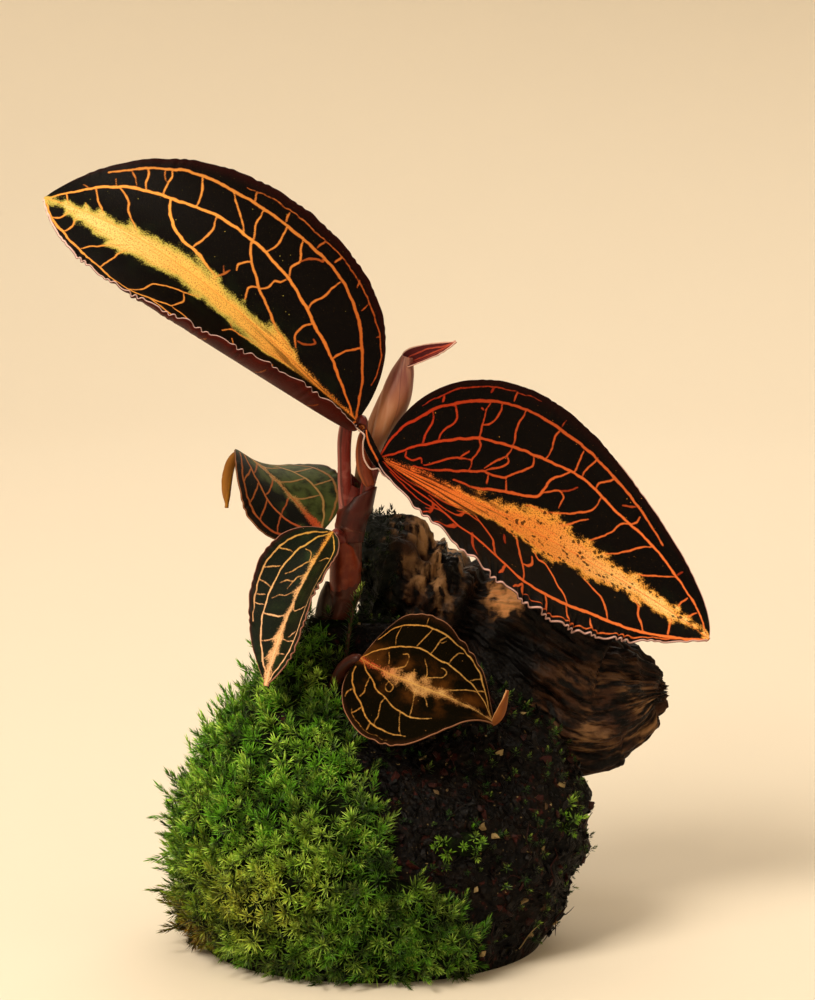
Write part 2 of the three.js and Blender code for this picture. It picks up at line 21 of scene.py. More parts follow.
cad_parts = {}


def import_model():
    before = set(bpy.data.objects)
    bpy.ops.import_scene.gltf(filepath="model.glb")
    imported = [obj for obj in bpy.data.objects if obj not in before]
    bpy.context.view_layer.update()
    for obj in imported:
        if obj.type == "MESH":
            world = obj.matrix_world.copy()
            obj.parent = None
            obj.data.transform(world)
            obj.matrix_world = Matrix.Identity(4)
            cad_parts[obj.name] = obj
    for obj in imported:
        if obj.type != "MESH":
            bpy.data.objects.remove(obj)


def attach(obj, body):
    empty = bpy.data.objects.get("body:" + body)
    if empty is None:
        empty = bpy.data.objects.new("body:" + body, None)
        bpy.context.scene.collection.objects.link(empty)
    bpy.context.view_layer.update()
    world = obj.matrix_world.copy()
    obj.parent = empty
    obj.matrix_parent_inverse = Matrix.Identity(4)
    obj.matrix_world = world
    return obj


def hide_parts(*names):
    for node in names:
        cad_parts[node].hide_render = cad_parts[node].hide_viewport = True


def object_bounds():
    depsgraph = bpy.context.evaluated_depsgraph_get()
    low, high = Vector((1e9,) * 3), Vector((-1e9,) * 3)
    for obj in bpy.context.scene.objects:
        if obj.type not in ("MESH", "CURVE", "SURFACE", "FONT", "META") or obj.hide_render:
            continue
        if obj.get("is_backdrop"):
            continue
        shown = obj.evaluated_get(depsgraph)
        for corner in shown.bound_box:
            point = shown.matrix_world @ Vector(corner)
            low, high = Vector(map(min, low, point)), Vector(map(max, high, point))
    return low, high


LOG = logging.getLogger("jewel_orchid")
MM = 0.001
TURN = 2 * math.pi
SPIRAL = math.radians(137.5)
FRONT_LIMIT, FLOOR_LIMIT = -29.7, 0.05
BODY = "root"

Array = np.ndarray
Piece = bpy.types.Object
Material = bpy.types.Material
Triple = tuple[float, float, float]
Course = tuple[tuple[float, float], ...]
Path = tuple[tuple[float, float, float, float], ...]


class Slot(Enum):
    """The record's material slots."""

    SUBSTRATE = "substrate"
    BARK = "bark"
    MOSS = "moss"
    STEM = "stem"
    LEAF_DARK = "leaf_dark"
    LEAF_GREEN = "leaf_green"
    LEAF_OLIVE = "leaf_olive"
    LEAF_YOUNG = "leaf_young"


# ---------- small mathematics


def tint(code: str) -> tuple[float, float, float, float]:
    """A colour for Blender's sockets from a hex code such as "a4605a"."""
    parts = (int(code[i : i + 2], 16) / 255 for i in (0, 2, 4))
    return (*(c / 12.92 if c <= 0.04045 else ((c + 0.055) / 1.055) ** 2.4 for c in parts), 1.0)


def smooth(low: float, high: float, x: Array) -> Array:
    """A smooth step from 0 at `low` to 1 at `high`."""
    t = np.clip((x - low) / (high - low), 0, 1)
    return t * t * (3 - 2 * t)


def bell(*offsets: Array) -> Array:
    """A bell of height 1 where every offset is 0, which fades at about 1."""
    return np.exp(-sum(offset**2 for offset in offsets))


def grid(*values: Array) -> Array:
    """Values on one grid, stacked as the coordinates of its points."""
    return np.stack(np.broadcast_arrays(*values), -1)


def circle(count: int) -> Array:
    """The angles of so many points round a circle."""
    return np.linspace(0, TURN, count, endpoint=False)


def along_leaf(values: Triple, u: Array) -> Array:
    """The curve through a value at the base, in the middle and at the tip."""
    base, middle, tip = values
    return base * (1 - u) * (1 - 2 * u) + 4 * middle * u * (1 - u) + tip * u * (2 * u - 1)


def catmull(points: Array, steps: int) -> Array:
    """A smooth curve through points.

    Args:
        points: one row for each point, with any number of columns.
        steps: how many pieces each span is cut into.

    Returns:
        The curve's points, one row each.
    """
    padded = np.vstack([2 * points[0] - points[1], points, 2 * points[-1] - points[-2]])
    t = np.linspace(0, 1, steps, endpoint=False)[:, None]
    spans = []
    for p0, p1, p2, p3 in zip(padded, padded[1:], padded[2:], padded[3:]):
        bend, twist = 2 * p0 - 5 * p1 + 4 * p2 - p3, 3 * p1 - p0 - 3 * p2 + p3
        spans.append(0.5 * (2 * p1 + (p2 - p0) * t + bend * t**2 + twist * t**3))
    return np.vstack([*spans, points[-1:]])


def travelled(course: Array) -> Array:
    """How far along a curve each of its points lies."""
    steps = np.linalg.norm(np.diff(course[:, :3], axis=0), axis=1)
    return np.concatenate([[0], np.cumsum(steps)])


def lumps(x: Array, y: Array, z: Array, wavelength: float) -> Array:
    """Gentle lumps of about one unit, from crossed waves, as in the part's source.

    Args:
        x, y, z: where they are read.
        wavelength: how far apart the largest lie.

    Returns:
        Their height at each place.
    """
    k = TURN / wavelength
    return (
        0.5 * np.sin(k * (x + 0.6 * y) + 1.3) * np.cos(k * (z - 0.3 * x))
        + 0.3 * np.sin(1.9 * k * (y - 0.4 * z) + 0.4)
        + 0.2 * np.cos(2.7 * k * (x + 0.7 * z) + 2.1)
    )


def rough(points: Array, size: float, octaves: int = 4, seed: float = 0.0) -> Array:
    """Fractal noise of about one unit.

    Args:
        points: where it is read.
        size: how wide its grains are.
        octaves: how many layers it has.
        seed: which noise it is.

    Returns:
        Its value at each point.
    """
    shift = Vector((seed, 2.3 * seed, -1.7 * seed))
    flat = (points.reshape(-1, 3) / size).tolist()
    values = [simplex.fractal(Vector(p) + shift, 0.9, 2.1, octaves) for p in flat]
    return np.array(values).reshape(points.shape[:-1])


# ---------- meshes


def placed(name: str, data: bpy.types.ID) -> Piece:
    """A new object at the origin that holds this data, linked to the scene."""
    bpy.context.scene.collection.objects.link(piece := bpy.data.objects.new(name, data))
    return piece


def mesh_piece(
    name: str, points: Array, faces: list | Array, marks: dict[str, Array] | None = None,
    material: Material | None = None,
) -> Piece:
    """A smooth-shaded mesh object at the origin.

    Args:
        name: the piece's name.
        points: its points in millimetres, in rows or as a grid.
        faces: its faces as rows of point numbers.
        marks: values for the points that its material reads by name.
        material: what it is made of.

    Returns:
        The object.
    """
    mesh = bpy.data.meshes.new(name)
    mesh.from_pydata((points.reshape(-1, 3) * MM).tolist(), [], [list(f) for f in faces])
    for key, values in (marks or {}).items():
        layer = mesh.attributes.new(key, "FLOAT", "POINT")
        whole = np.broadcast_to(values, points.shape[:-1])
        layer.data.foreach_set("value", np.ascontiguousarray(whole, np.float32).ravel())
    mesh.polygons.foreach_set("use_smooth", [True] * len(mesh.polygons))
    if material:
        mesh.materials.append(material)
    mesh.update()
    return placed(name, mesh)


def grid_faces(rows: int, columns: int, start: int = 0, closed: bool = False) -> Array:
    """Quads of a grid of points numbered row by row.

    Args:
        rows: how many rows of points there are.
        columns: how many points each row has.
        start: the number of the first point.
        closed: whether each row closes on itself.

    Returns:
        One row of four point numbers for each quad.
    """
    here = np.arange(rows - 1)[:, None] * columns
    c = np.arange(columns if closed else columns - 1)
    over = (c + 1) % columns
    quads = grid(here + c, here + columns + c, here + columns + over, here + over)
    return start + quads.reshape(-1, 4)


def closed_body(
    name: str, points: Array, marks: dict[str, Array], material: Material | None = None
) -> Piece:
    """A closed piece from rings of points that climb and turn left.

    Args:
        name: the piece's name.
        points: its rings, which are capped at both ends.
        marks: values for the points.
        material: what it is made of.

    Returns:
        The piece.
    """
    rows, sides = points.shape[:2]
    faces = grid_faces(rows, sides, closed=True)[:, ::-1].tolist()
    faces += [list(range(sides - 1, -1, -1)), list(range((rows - 1) * sides, rows * sides))]
    return mesh_piece(name, points, faces, marks, material)


def hand_over(slot: Slot, node: str, *pieces: Piece) -> list[Piece]:
    """Lets finished pieces ride on the part's body in place of a CAD node.

    Args:
        slot: a material slot; not used.
        node: the CAD node.
        pieces: the pieces, of which the first stands for the node.

    Returns:
        The pieces.
    """
    for piece in pieces:
        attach(piece, BODY)
    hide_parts(node)
    return list(pieces)


@dataclass(frozen=True)
class Tube:
    """A round body along a path, with a relief that its owner gives."""

    path: Path
    sides: int = 24
    steps: int = 12

    def frames(self) -> tuple[Array, Array, Array, Array]:
        """Lays rings along the path without twisting them.

        Returns:
            Their middles with radii, their two directions across, and their shares along.
        """
        course = catmull(np.array(self.path), self.steps)
        ahead = np.gradient(course[:, :3], axis=0)
        ahead /= np.linalg.norm(ahead, axis=1, keepdims=True)
        across = np.empty_like(ahead)
        one = np.array([0.31, 0.95, 0.05])
        for i, direction in enumerate(ahead):
            one = one - direction * (one @ direction)
            one /= np.linalg.norm(one)
            across[i] = one
        return course, across, np.cross(ahead, across), np.linspace(0, 1, len(course))

    @staticmethod
    def spokes(across: Array, side: Array, angle: Array) -> Array:
        """The directions outward at each angle of each ring."""
        return across[:, None] * np.cos(angle)[..., None] + side[:, None] * np.sin(angle)[..., None]

    def build(
        self, name: str, material: Material | None = None, relief: Callable | None = None,
        slide: Callable | None = None,
    ) -> Piece:
        """Makes the tube's mesh.

        Args:
            name: the piece's name.
            material: what it is made of.
            relief: a function of the share along, the angle and the middle's places, all as
                grids, that gives what is added to the radius in millimetres.
            slide: one like it, of the share and the angle, for how far points move along the path.

        Returns:
            The piece, closed at both ends. Its marks are `around`, a share of a turn, and
            `along`, in millimetres.
        """
        course, across, side, share = self.frames()
        angle = circle(self.sides)
        radius = np.repeat(course[:, 3:4], self.sides, 1)
        if relief:
            radius += relief(share[:, None], angle[None, :], course[:, None, :3])
        ends = np.sqrt(np.clip(np.minimum(share, 1 - share) * len(course) / 2.5, 0.06, 1))
        out = self.spokes(across, side, angle)
        rings = course[:, None, :3] + out * (radius * ends[:, None])[..., None]
        if slide:
            ahead = np.cross(side, across)[:, None]
            rings = rings - ahead * slide(share[:, None], angle[None, :])[..., None]
        marks = {"around": angle / TURN, "along": travelled(course)[:, None]}
        return closed_body(name, rings, marks, material)


# ---------- materials


class Wiring:
    """Adds and links the nodes of one tree."""

    def __init__(self, tree: bpy.types.NodeTree) -> None:
        """Keeps the tree."""
        self.tree = tree

    def feed(self, socket: bpy.types.NodeSocket, value: object) -> None:
        """Links an output to a socket, or sets the socket's value.

        Args:
            socket: the input.
            value: what it gets.
        """
        if isinstance(value, Signal):
            self.tree.links.new(value.socket, socket)
        else:
            socket.default_value = value

    def out(
        self, kind: str, inputs: dict[str | int, object] | None = None, output: str | None = None,
        **settings: object,
    ) -> Signal:
        """Adds a node.

        Args:
            kind: the node's type.
            inputs: its inputs in use by name, or any by number, each a value or an output.
            output: the name of the output wanted, if not the first in use.
            **settings: its other settings.

        Returns:
            That output.
        """
        node = self.tree.nodes.new(kind)
        for key, value in settings.items():
            setattr(node, key, value)
        for key, value in (inputs or {}).items():
            used = (s for n, s in enumerate(node.inputs) if key == n or (s.enabled and s.name == key))
            self.feed(next(used), value)
        return Signal(self, node.outputs[output] if output else next(s for s in node.outputs if s.enabled))


@dataclass(frozen=True)
class Signal:
    """A node's output that can be reckoned with: each sum adds one more node."""

    wiring: Wiring
    socket: bpy.types.NodeSocket

    def sum(self, operation: str, first: object, second: object = 0.0) -> Signal:
        """One sum of two numbers or outputs."""
        return self.wiring.out("ShaderNodeMath", {0: first, 1: second}, operation=operation)

    def __add__(self, other: object) -> Signal:
        """This plus another."""
        return self.sum("ADD", self, other)

    def __sub__(self, other: object) -> Signal:
        """This less another."""
        return self.sum("SUBTRACT", self, other)

    def __rsub__(self, other: object) -> Signal:
        """A number less this."""
        return self.sum("SUBTRACT", other, self)

    def __mul__(self, other: object) -> Signal:
        """This times another."""
        return self.sum("MULTIPLY", self, other)

    def __truediv__(self, other: object) -> Signal:
        """This divided by another."""
        return self.sum("DIVIDE", self, other)

    def __abs__(self) -> Signal:
        """This without its sign."""
        return self.sum("ABSOLUTE", self)

    def step(self, low: float, high: float) -> Signal:
        """A smooth step from 0 at `low` to 1 at `high`."""
        inputs = {"Value": self, "From Min": low, "From Max": high}
        return self.wiring.out("ShaderNodeMapRange", inputs, interpolation_type="SMOOTHSTEP")


class Paint(Wiring):
    """Writes the nodes of one procedural material."""

    def __init__(self, name: str) -> None:
        """Starts a material with its plain shader.

        Args:
            name: its name.
        """
        self.material = bpy.data.materials.new(name)
        self.material.use_nodes = True
        super().__init__(self.material.node_tree)
        self.shader = self.tree.nodes["Principled BSDF"]
        self.place = self.out("ShaderNodeTexCoord", output="Object")

    def mark(self, name: str) -> Signal:
        """The piece's own value of this name at each point."""
        return self.out("ShaderNodeAttribute", output="Fac", attribute_name=name)

    def flat(self, x: Signal, y: Signal) -> Signal:
        """The place on a flattened surface with these two coordinates, in millimetres."""
        return self.out("ShaderNodeCombineXYZ", {"X": x, "Y": y})

    def grain(
        self, size: float, detail: float = 3, stretch: Triple = (1, 1, 1), flat: Signal | None = None
    ) -> Signal:
        """Noise from 0 to 1.

        Args:
            size: the grains' size in millimetres.
            detail: how many finer layers it has.
            stretch: how much finer the grains are along each axis.
            flat: where the noise is read, if not at the object's place.

        Returns:
            The noise.
        """
        scale = 1 / size if flat else 1 / (size * MM)
        inputs = {"Vector": flat or self.place, "Scale": tuple(scale * s for s in stretch)}
        mapped = self.out("ShaderNodeMapping", inputs)
        return self.out("ShaderNodeTexNoise", {"Vector": mapped, "Scale": 1.0, "Detail": detail})

    def cells(self, size: float) -> Signal:
        """The distance from the middles of cells of `size` millimetres."""
        return self.out("ShaderNodeTexVoronoi", {"Vector": self.place, "Scale": 1 / (size * MM)})

    def coat(self, base: object, *coats: tuple[object, object]) -> Signal:
        """Lays colours over a base.

        Args:
            base: its colour, as a hex code or an output.
            coats: the share and the colour of each coat, from the lowest up.

        Returns:
            The colour of it all.
        """
        for share, top in coats:
            under, over = (tint(c) if isinstance(c, str) else c for c in (base, top))
            base = self.out("ShaderNodeMix", {"Factor": share, "A": under, "B": over}, data_type="RGBA")
        return base

    def dress(
        self, colour: Signal, roughness: object, height: Signal | None = None, depth: float = 0.1,
        **shader: object,
    ) -> Material:
        """Finishes the material.

        Args:
            colour: the base colour.
            roughness: the roughness, as a number or an output.
            height: an output from 0 to 1 that raises the surface.
            depth: how high that is, in millimetres.
            **shader: other inputs of the shader, with _ for each space.

        Returns:
            The material.
        """
        fed = {"Base Color": colour, "Roughness": roughness}
        if height:
            inputs = {"Height": height, "Distance": depth * MM, "Strength": 1.0}
            fed["Normal"] = self.out("ShaderNodeBump", inputs)
        fed |= {key.replace("_", " "): value for key, value in shader.items()}
        for key, value in fed.items():
            self.feed(self.shader.inputs[key], value)
        return self.material


# ---------- blades


@dataclass(frozen=True)
class Half:
    """One half of a blade: full width, how fast it widens and narrows, fold at base and tip, how
    far it cups, and its margin: how high it is crimped, how wide its pale rim is, how far it
    swings in and out, and the share of the length from which the rim is pale."""

    width: float
    widen: float
    narrow: float
    fold: tuple[float, float]
    cup: float
    edge: float = 1.0
    crimp: float = 0.1
    rim: float = 0.05
    frill: float = 0.0
    rim_from: float = -1.0

    def reach(self, u: Array) -> Array:
        """Finds how wide the half is.

        Args:
            u: shares of the blade's length.

        Returns:
            The width in millimetres at each.
        """
        peak = self.widen / (self.widen + self.narrow)
        top = peak**self.widen * (1 - peak) ** self.narrow
        least = 0.45 if self.width > 4 else 0.3
        return np.maximum(self.width * u**self.widen * (1 - u) ** self.narrow / top, least)

    def section(self, u: Array, shares: Array) -> tuple[Array, Array]:
        """Bends the half to its fold and its cup.

        Args:
            u: shares of the blade's length.
            shares: shares of the half's width.

        Returns:
            How far outward and upward from the midrib the points lie, one row for each u.
        """
        steps = 64
        middle = (np.arange(steps) + 0.5) / steps
        reach = self.reach(u)[:, None]
        fold = np.radians(self.fold[0] + (self.fold[1] - self.fold[0]) * u)[:, None]
        angle = fold + np.radians(self.cup) * reach / self.width * middle**self.edge
        start = np.zeros((len(u), 1))
        sides = [np.hstack([start, np.cumsum(f(angle), 1)]) * reach / steps for f in (np.cos, np.sin)]
        low = np.minimum((shares * steps).astype(int), steps - 1)
        rest = shares * steps - low
        return tuple(v[:, low] * (1 - rest) + v[:, low + 1] * rest for v in sides)


@dataclass(frozen=True)
class Vein:
    """A coloured vein: half its width in millimetres, its tone from dull to bright, and its course.

    The course is one pair of numbers after another: how far along the blade in percent of its
    length, and how far out in percent of a half's width, which is negative on the right half.
    """

    half_width: float
    tone: float
    course: tuple[float, ...]


def rib(*course: float, tone: float = 0.9) -> Vein:
    """One of the main veins that run from base to tip."""
    return Vein(0.24, tone, course)


def tie(*course: float, tone: float = 0.8, half_width: float = 0.17) -> Vein:
    """A vein that ties two others, or a spur from one."""
    return Vein(half_width, tone, course)


def hair(*course: float, tone: float = 0.35) -> Vein:
    """A thin, dull vein."""
    return Vein(0.11, tone, course)


@dataclass(frozen=True)
class BladeForm:
    """A blade: its base, its length, which way it runs, climbs and rolls at base, middle and tip,
    its two halves, the pitch of its crimped margin, how wide its veins are drawn on the left and
    the right half, and the mesh's rows and columns."""

    base: Triple
    length: float
    heading: Triple
    climb: Triple
    roll: Triple
    left: Half
    right: Half
    thickness: float = 0.5
    pitch: float = 1.55
    vein_scale: tuple[float, float] = (1.0, 1.0)
    rows: int = 350
    columns: int = 100


class BladeSurface:
    """A blade's surface as a grid of points, with where each lies on the flattened blade."""

    under_skip = 5

    def __init__(self, form: BladeForm) -> None:
        """Lays the grid out along the midrib and across both halves.

        Args:
            form: the blade's sizes.
        """
        self.form = form
        self.u = np.linspace(0, 1, form.rows + 1)
        self.share = np.linspace(-1, 1, 2 * form.columns + 1)
        self.reach = self.by_side(*(half.reach(self.u)[:, None] for half in (form.right, form.left)))
        self.along = np.broadcast_to(self.u[:, None] * form.length, self.reach.shape)
        self.across = self.share * self.reach
        place, left, up = self.midrib()
        self.points = np.empty((*self.reach.shape, 3))
        for half, sign in ((form.right, -1), (form.left, 1)):
            chosen = np.where(self.share < 0 if sign < 0 else self.share >= 0)[0]
            shares = np.abs(self.share[chosen])
            outward, upward = half.section(self.u, shares)
            wave = self.crimp(sign, shares)
            upward = upward + half.crimp * wave
            outward = outward + half.frill * np.roll(wave, 2, axis=0)
            self.points[:, chosen] = (
                place[:, None] + sign * left[:, None] * outward[..., None] + up[:, None] * upward[..., None]
            )
        self.normals = self.facing(up)

    def by_side(self, right: Array, left: Array) -> Array:
        """One grid on the right half and another on the left."""
        return np.where(self.share < 0, right, left)

    def midrib(self) -> tuple[Array, Array, Array]:
        """Follows the midrib.

        Returns:
            Its places, and the leftward and upward directions there.
        """
        form = self.form
        turns = (form.heading, form.climb, form.roll)
        heading, climb, roll = (np.radians(along_leaf(v, self.u)) for v in turns)
        ahead = grid(np.cos(climb) * np.cos(heading), np.cos(climb) * np.sin(heading), np.sin(climb))
        step = (ahead[1:] + ahead[:-1]) * (form.length / form.rows / 2)
        place = np.array(form.base) + np.vstack([np.zeros(3), np.cumsum(step, 0)])
        level = grid(-np.sin(heading), np.cos(heading), 0 * heading)
        upright = np.cross(ahead, level)
        cos, sin = np.cos(roll)[:, None], np.sin(roll)[:, None]
        return place, level * cos + upright * sin, upright * cos - level * sin

    def crimp(self, sign: int, shares: Array) -> Array:
        """Finds the margin's fine, uneven waves.

        Args:
            sign: -1 on the right half, 1 on the left.
            shares: shares of the half's width.

        Returns:
            How high they stand, one row for each station.
        """
        reach = TURN / self.form.pitch * self.u * self.form.length
        uneven = np.sin(reach + 1.9 * np.sin(0.31 * reach + sign))
        swell = 0.65 + 0.35 * np.sin(0.17 * reach + 2 * sign)
        slow = 0.8 * np.sin(0.29 * reach + 1.3 * sign)
        wave = np.sqrt(np.sin(np.pi * self.u)) * (uneven * swell + slow)
        return wave[:, None] * smooth(0.72, 1.0, shares) ** 1.5

    def facing(self, up: Array) -> Array:
        """Finds the upper face's direction at each point.

        Args:
            up: the midrib's upward directions, for where the blade has no width.

        Returns:
            The directions.
        """
        normals = np.cross(np.gradient(self.points, axis=0), np.gradient(self.points, axis=1))
        size = np.linalg.norm(normals, axis=-1, keepdims=True)
        normals /= np.maximum(size, 1e-9)
        return np.where(size < 1e-7, up[:, None], normals)

    def inside(self, veins: tuple[Vein, ...]) -> tuple[Array, Array]:
        """Draws the net of veins.

        Args:
            veins: its veins.

        Returns:
            How far inside the nearest one each point lies, in millimetres, and that one's tone.
        """
        shape = self.along.shape
        best, tone = np.full(shape, -2.0), np.full(shape, 0.5)
        flat = grid(self.along, self.across, np.zeros(shape))
        far_along = self.along + 0.16 * rough(flat, 1.7, 2, seed=3)
        far_across = self.across + 0.16 * rough(flat, 1.7, 2, seed=6)
        right, left = self.form.right, self.form.left
        for vein in veins:
            u, share = catmull(np.array(vein.course).reshape(-1, 2) / 100, 6).T
            trace = grid(u * self.form.length, share * np.where(share < 0, right.reach(u), left.reach(u)))
            ends = np.minimum(np.linspace(0, 1, len(trace)), np.linspace(1, 0, len(trace)))
            width = vein.half_width * (0.7 + 0.3 * smooth(0, 0.25, ends))
            width = width * np.where(share < 0, *self.form.vein_scale[::-1])
            for a, b, wa, wb in zip(trace, trace[1:], width, width[1:]):
                low, high = sorted((a[0], b[0]))
                rows = slice(*np.searchsorted(self.along[:, 0], (low - 1.4, high + 1.4)).tolist())
                along, across = far_along[rows] - a[0], far_across[rows] - a[1]
                run = b - a
                t = np.clip((along * run[0] + across * run[1]) / max(run @ run, 1e-9), 0, 1)
                depth = wa + (wb - wa) * t - np.hypot(along - t * run[0], across - t * run[1])
                better = depth > best[rows]
                best[rows][better] = depth[better]
                tone[rows][better] = vein.tone
        return best, tone

    def flame(self, edges: tuple[float, ...]) -> Array:
        """Draws the pale flame along the midrib.

        Args:
            edges: one group of three numbers after another, in percent: how far along the blade,
                then how far the flame reaches over the left and the right half.

        Returns:
            How far inside it each point lies, in millimetres.
        """
        u, left, right = np.array(edges).reshape(-1, 3).T / 100
        limit = self.by_side(*(np.interp(self.u, u, side)[:, None] for side in (right, left)))
        return (limit - np.abs(self.share)) * self.reach

    def rim(self) -> Array:
        """Draws the margin's pale rim.

        Returns:
            How far inside it each point lies, in millimetres.
        """
        width = self.by_side(*(half.rim - 9 * smooth(half.rim_from, half.rim_from - 0.1, self.u)[:, None]
                               for half in (self.form.right, self.form.left)))
        return width - (1 - np.abs(self.share)) * self.reach

    def build(
        self, name: str, material: Material, veins: tuple[Vein, ...], flame: tuple[float, ...]
    ) -> Piece:
        """Makes the blade's closed mesh with its marks.

        Args:
            name: the piece's name.
            material: what it is made of.
            veins: its net of veins.
            flame: the edges of its flame.

        Returns:
            The piece.
        """
        skip = self.under_skip
        depth, tone = self.inside(veins)
        half = self.form.thickness / 2 * (1 - 0.6 * self.share[:, None] ** 2)
        top = self.points + self.normals * half
        under = (self.points - self.normals * half)[:, ::skip]
        (rows, columns), few = top.shape[:2], under.shape[1]
        count = rows * columns
        faces = grid_faces(rows, columns).tolist()
        faces += grid_faces(rows, few, start=count)[:, ::-1].tolist()
        for r in range(rows - 1):
            a, b = r * columns, count + r * few
            faces.append([a, b, b + few, a + columns])
            a, b = a + columns - 1, b + few - 1
            faces.append([a, a + columns, b + few, b])
        for r, turn in ((0, 1), (rows - 1, -1)):
            for c in range(few - 1):
                edge = [r * columns + skip * c + k for k in range(skip + 1)]
                faces.append([*edge, count + r * few + c + 1, count + r * few + c][::turn])
        marks = {
            "vein": depth, "tone": tone, "flare": self.flame(flame), "rim": self.rim(),
            "along": self.along, "across": self.across, "under": np.zeros(top.shape[:2]),
            "share": np.broadcast_to(self.share, top.shape[:2]),
        }
        joined = {key: np.concatenate([v.ravel(), v[:, ::skip].ravel()]) for key, v in marks.items()}
        joined["under"][count:] = 1
        points = np.vstack([top.reshape(-1, 3), under.reshape(-1, 3)])
        return mesh_piece(name, points, faces, joined, material)


@dataclass(frozen=True)
class LeafFinish:
    """A leaf's colours: its ground, the tint of that and the ground at its edge; its veins, dull and
    bright at base and tip; its flame at base, middle, tip and edge; its margin; and its back. Then
    which half's edge is tinted and which half is lit, how speckled and stranded the flame is, how
    feathered, soft and ragged its edge is, and the leaf's gloss."""

    ground: tuple[str, str, str]
    vein: tuple[str, str, str]
    flame: tuple[str, str, str, str]
    rim: str
    under: str
    far: int = 0
    lit: int = 0
    specks: float = 0.0
    strands: float = 0.0
    feather: float = 0.7
    halo: float = 1.0
    drift: float = 3.6
    gloss: float = 0.05

    def paint(self, name: str, length: float) -> Material:
        """Writes the leaf's material.

        Args:
            name: its name.
            length: the blade's length.

        Returns:
            The material.
        """
        p = Paint(name)
        plain, tinted, outer = self.ground
        dull, bright_base, bright_tip = self.vein
        flame_base, flame_middle, flame_tip, flame_edge = self.flame
        along, across, share = p.mark("along"), p.mark("across"), p.mark("share")
        u, flat = along / length, p.flat(along, across)
        papillae, dust = p.cells(0.17), p.grain(0.22, 2, flat=flat)

        green = p.grain(2.6).step(0.4, 0.75) * p.mark("flare").step(-5.0, -0.5)
        bright = p.coat(bright_base, (u.step(0.0, 0.7), bright_tip))
        if self.lit:
            half = (share * self.lit).step(0.02, 0.12)
            green = green.sum("MAXIMUM", green, half * p.grain(1.6).step(0.2, 0.6))
            bright = p.coat(bright, (half, flame_edge))
        side = share * self.far if self.far else abs(share)
        # painted highlight: sparse pale dots on the ground stand for glints of light on the velvet's papillae
        painted_glints = p.cells(1.1).step(0.08, 0.04) * p.grain(3.5).step(0.5, 0.58)
        ground = p.coat(plain, (green, tinted), (side.step(0.88, 1.0), outer), (painted_glints * 0.7, flame_edge))

        jitter = (p.grain(0.45, 2) - 0.5) * 0.14
        vein_depth = p.mark("vein") + jitter
        vein_mask = vein_depth.step(-0.05, 0.05)
        veins = p.coat(dull, (p.mark("tone"), bright), (vein_depth.step(0.12, -0.03) * 0.7, dull))

        drift = (p.grain(1.5, 3, flat=flat) - 0.5) * self.drift
        slant = p.flat(along - abs(across) * 1.2, across)
        barbs = (p.grain(0.8, 2, (1, 0.25, 1), slant) - 0.5) * 0.8
        spread = p.mark("vein").step(-0.9, 0.1) * 1.3
        loose = (u.step(0.0, 0.4) + 0.25) * (0.8 * self.feather)
        reach = p.mark("flare") + ((drift + barbs) + (spread - 0.25)) * loose
        soft = reach.step(-self.halo, 1.2 * self.feather) + (dust - 0.5) * 1.1
        streaks = p.grain(0.8, 4, (0.2, 1.6, 1.0), flat)
        core = p.coat(
            flame_base,
            (u.step(0.05, 0.45), flame_middle),
            (u.step(0.45, 0.95), flame_tip),
            (streaks.step(0.5, 0.68) * 0.45, bright),
            (reach.step(1.2, -0.2) * u.step(0.1, 0.4), flame_edge),
            (vein_mask * 0.5, bright),
            (dust.step(0.52, 0.36) * 0.55, dull),
            ((abs(across) + jitter).step(0.2, 0.08) * 0.7, bright),
        )
        if self.specks:
            dots = (p.cells(0.8) + dust * 0.5).step(0.68, 0.56)
            patches = p.grain(2.0).step(0.46, 0.55) * u.step(0.2, 0.4)
            core = p.coat(core, (dots * patches * self.specks, ground))
        if self.strands:
            dark = p.grain(1.0, 2, (0.1, 1, 1), p.flat(along, share * 16.0)).step(0.5, 0.42)
            core = p.coat(core, (dark * u.step(0.42, 0.26) * self.strands, ground))

        back = p.coat(
            self.under, (vein_mask * 0.3, veins), (p.grain(3.0).step(0.4, 0.8) * 0.6, outer)
        )
        colour = p.coat(
            ground,
            (vein_mask, veins),
            (soft.step(0.16, 0.84), core),
            ((p.mark("rim") + jitter * 0.5).step(-0.05, 0.05), self.rim),
            (p.mark("under"), back),
        )
        relief = (vein_mask * 0.6 + papillae * 0.4) + p.grain(0.5) * 0.3
        return p.dress(colour, p.grain(1.2) * 0.2 + 0.4, relief, 0.05, Specular_IOR_Level=self.gloss)


@dataclass(frozen=True)
class SkinFinish:
    """A petiole's or stem's skin: its main colour, its pale bloom, which also paints a highlight down one
    side, its groove, and where the highlight and the groove lie round it.
    """

    skin: str
    bloom_and_sheen: str
    groove: str
    turn: float = 0.0
    furrow: float = 0.46

    def paint(self, name: str) -> Material:
        """Writes the skin's material, which reads a tube's `around` and `along`.

        Args:
            name: its name.

        Returns:
            The material.
        """
        p = Paint(name)
        around, along = p.mark("around"), p.mark("along")
        streaks = p.grain(1.4, 3, (0.3, 2.0, 1.0), p.flat(along, around * 8.0))
        # painted highlight: the pale colour is painted down one side of the tube, the side set by turn, as if
        # lit there
        lit = around.sum("SINE", (around + self.turn) * TURN).step(-0.2, 0.9)
        colour = p.coat(
            self.skin,
            (lit, self.bloom_and_sheen),
            (streaks.step(0.45, 0.7) * 0.6, self.groove),
            (p.grain(1.6).step(0.5, 0.7) * 0.3, self.bloom_and_sheen),
            (abs(around - self.furrow).step(0.05, 0.01) * 0.7, self.groove),
        )
        return p.dress(
            colour, 0.38, streaks * 0.6 + p.grain(0.3) * 0.3, 0.08, Specular_IOR_Level=0.18,
            Subsurface_Weight=0.1, Subsurface_Scale=0.8 * MM,
        )


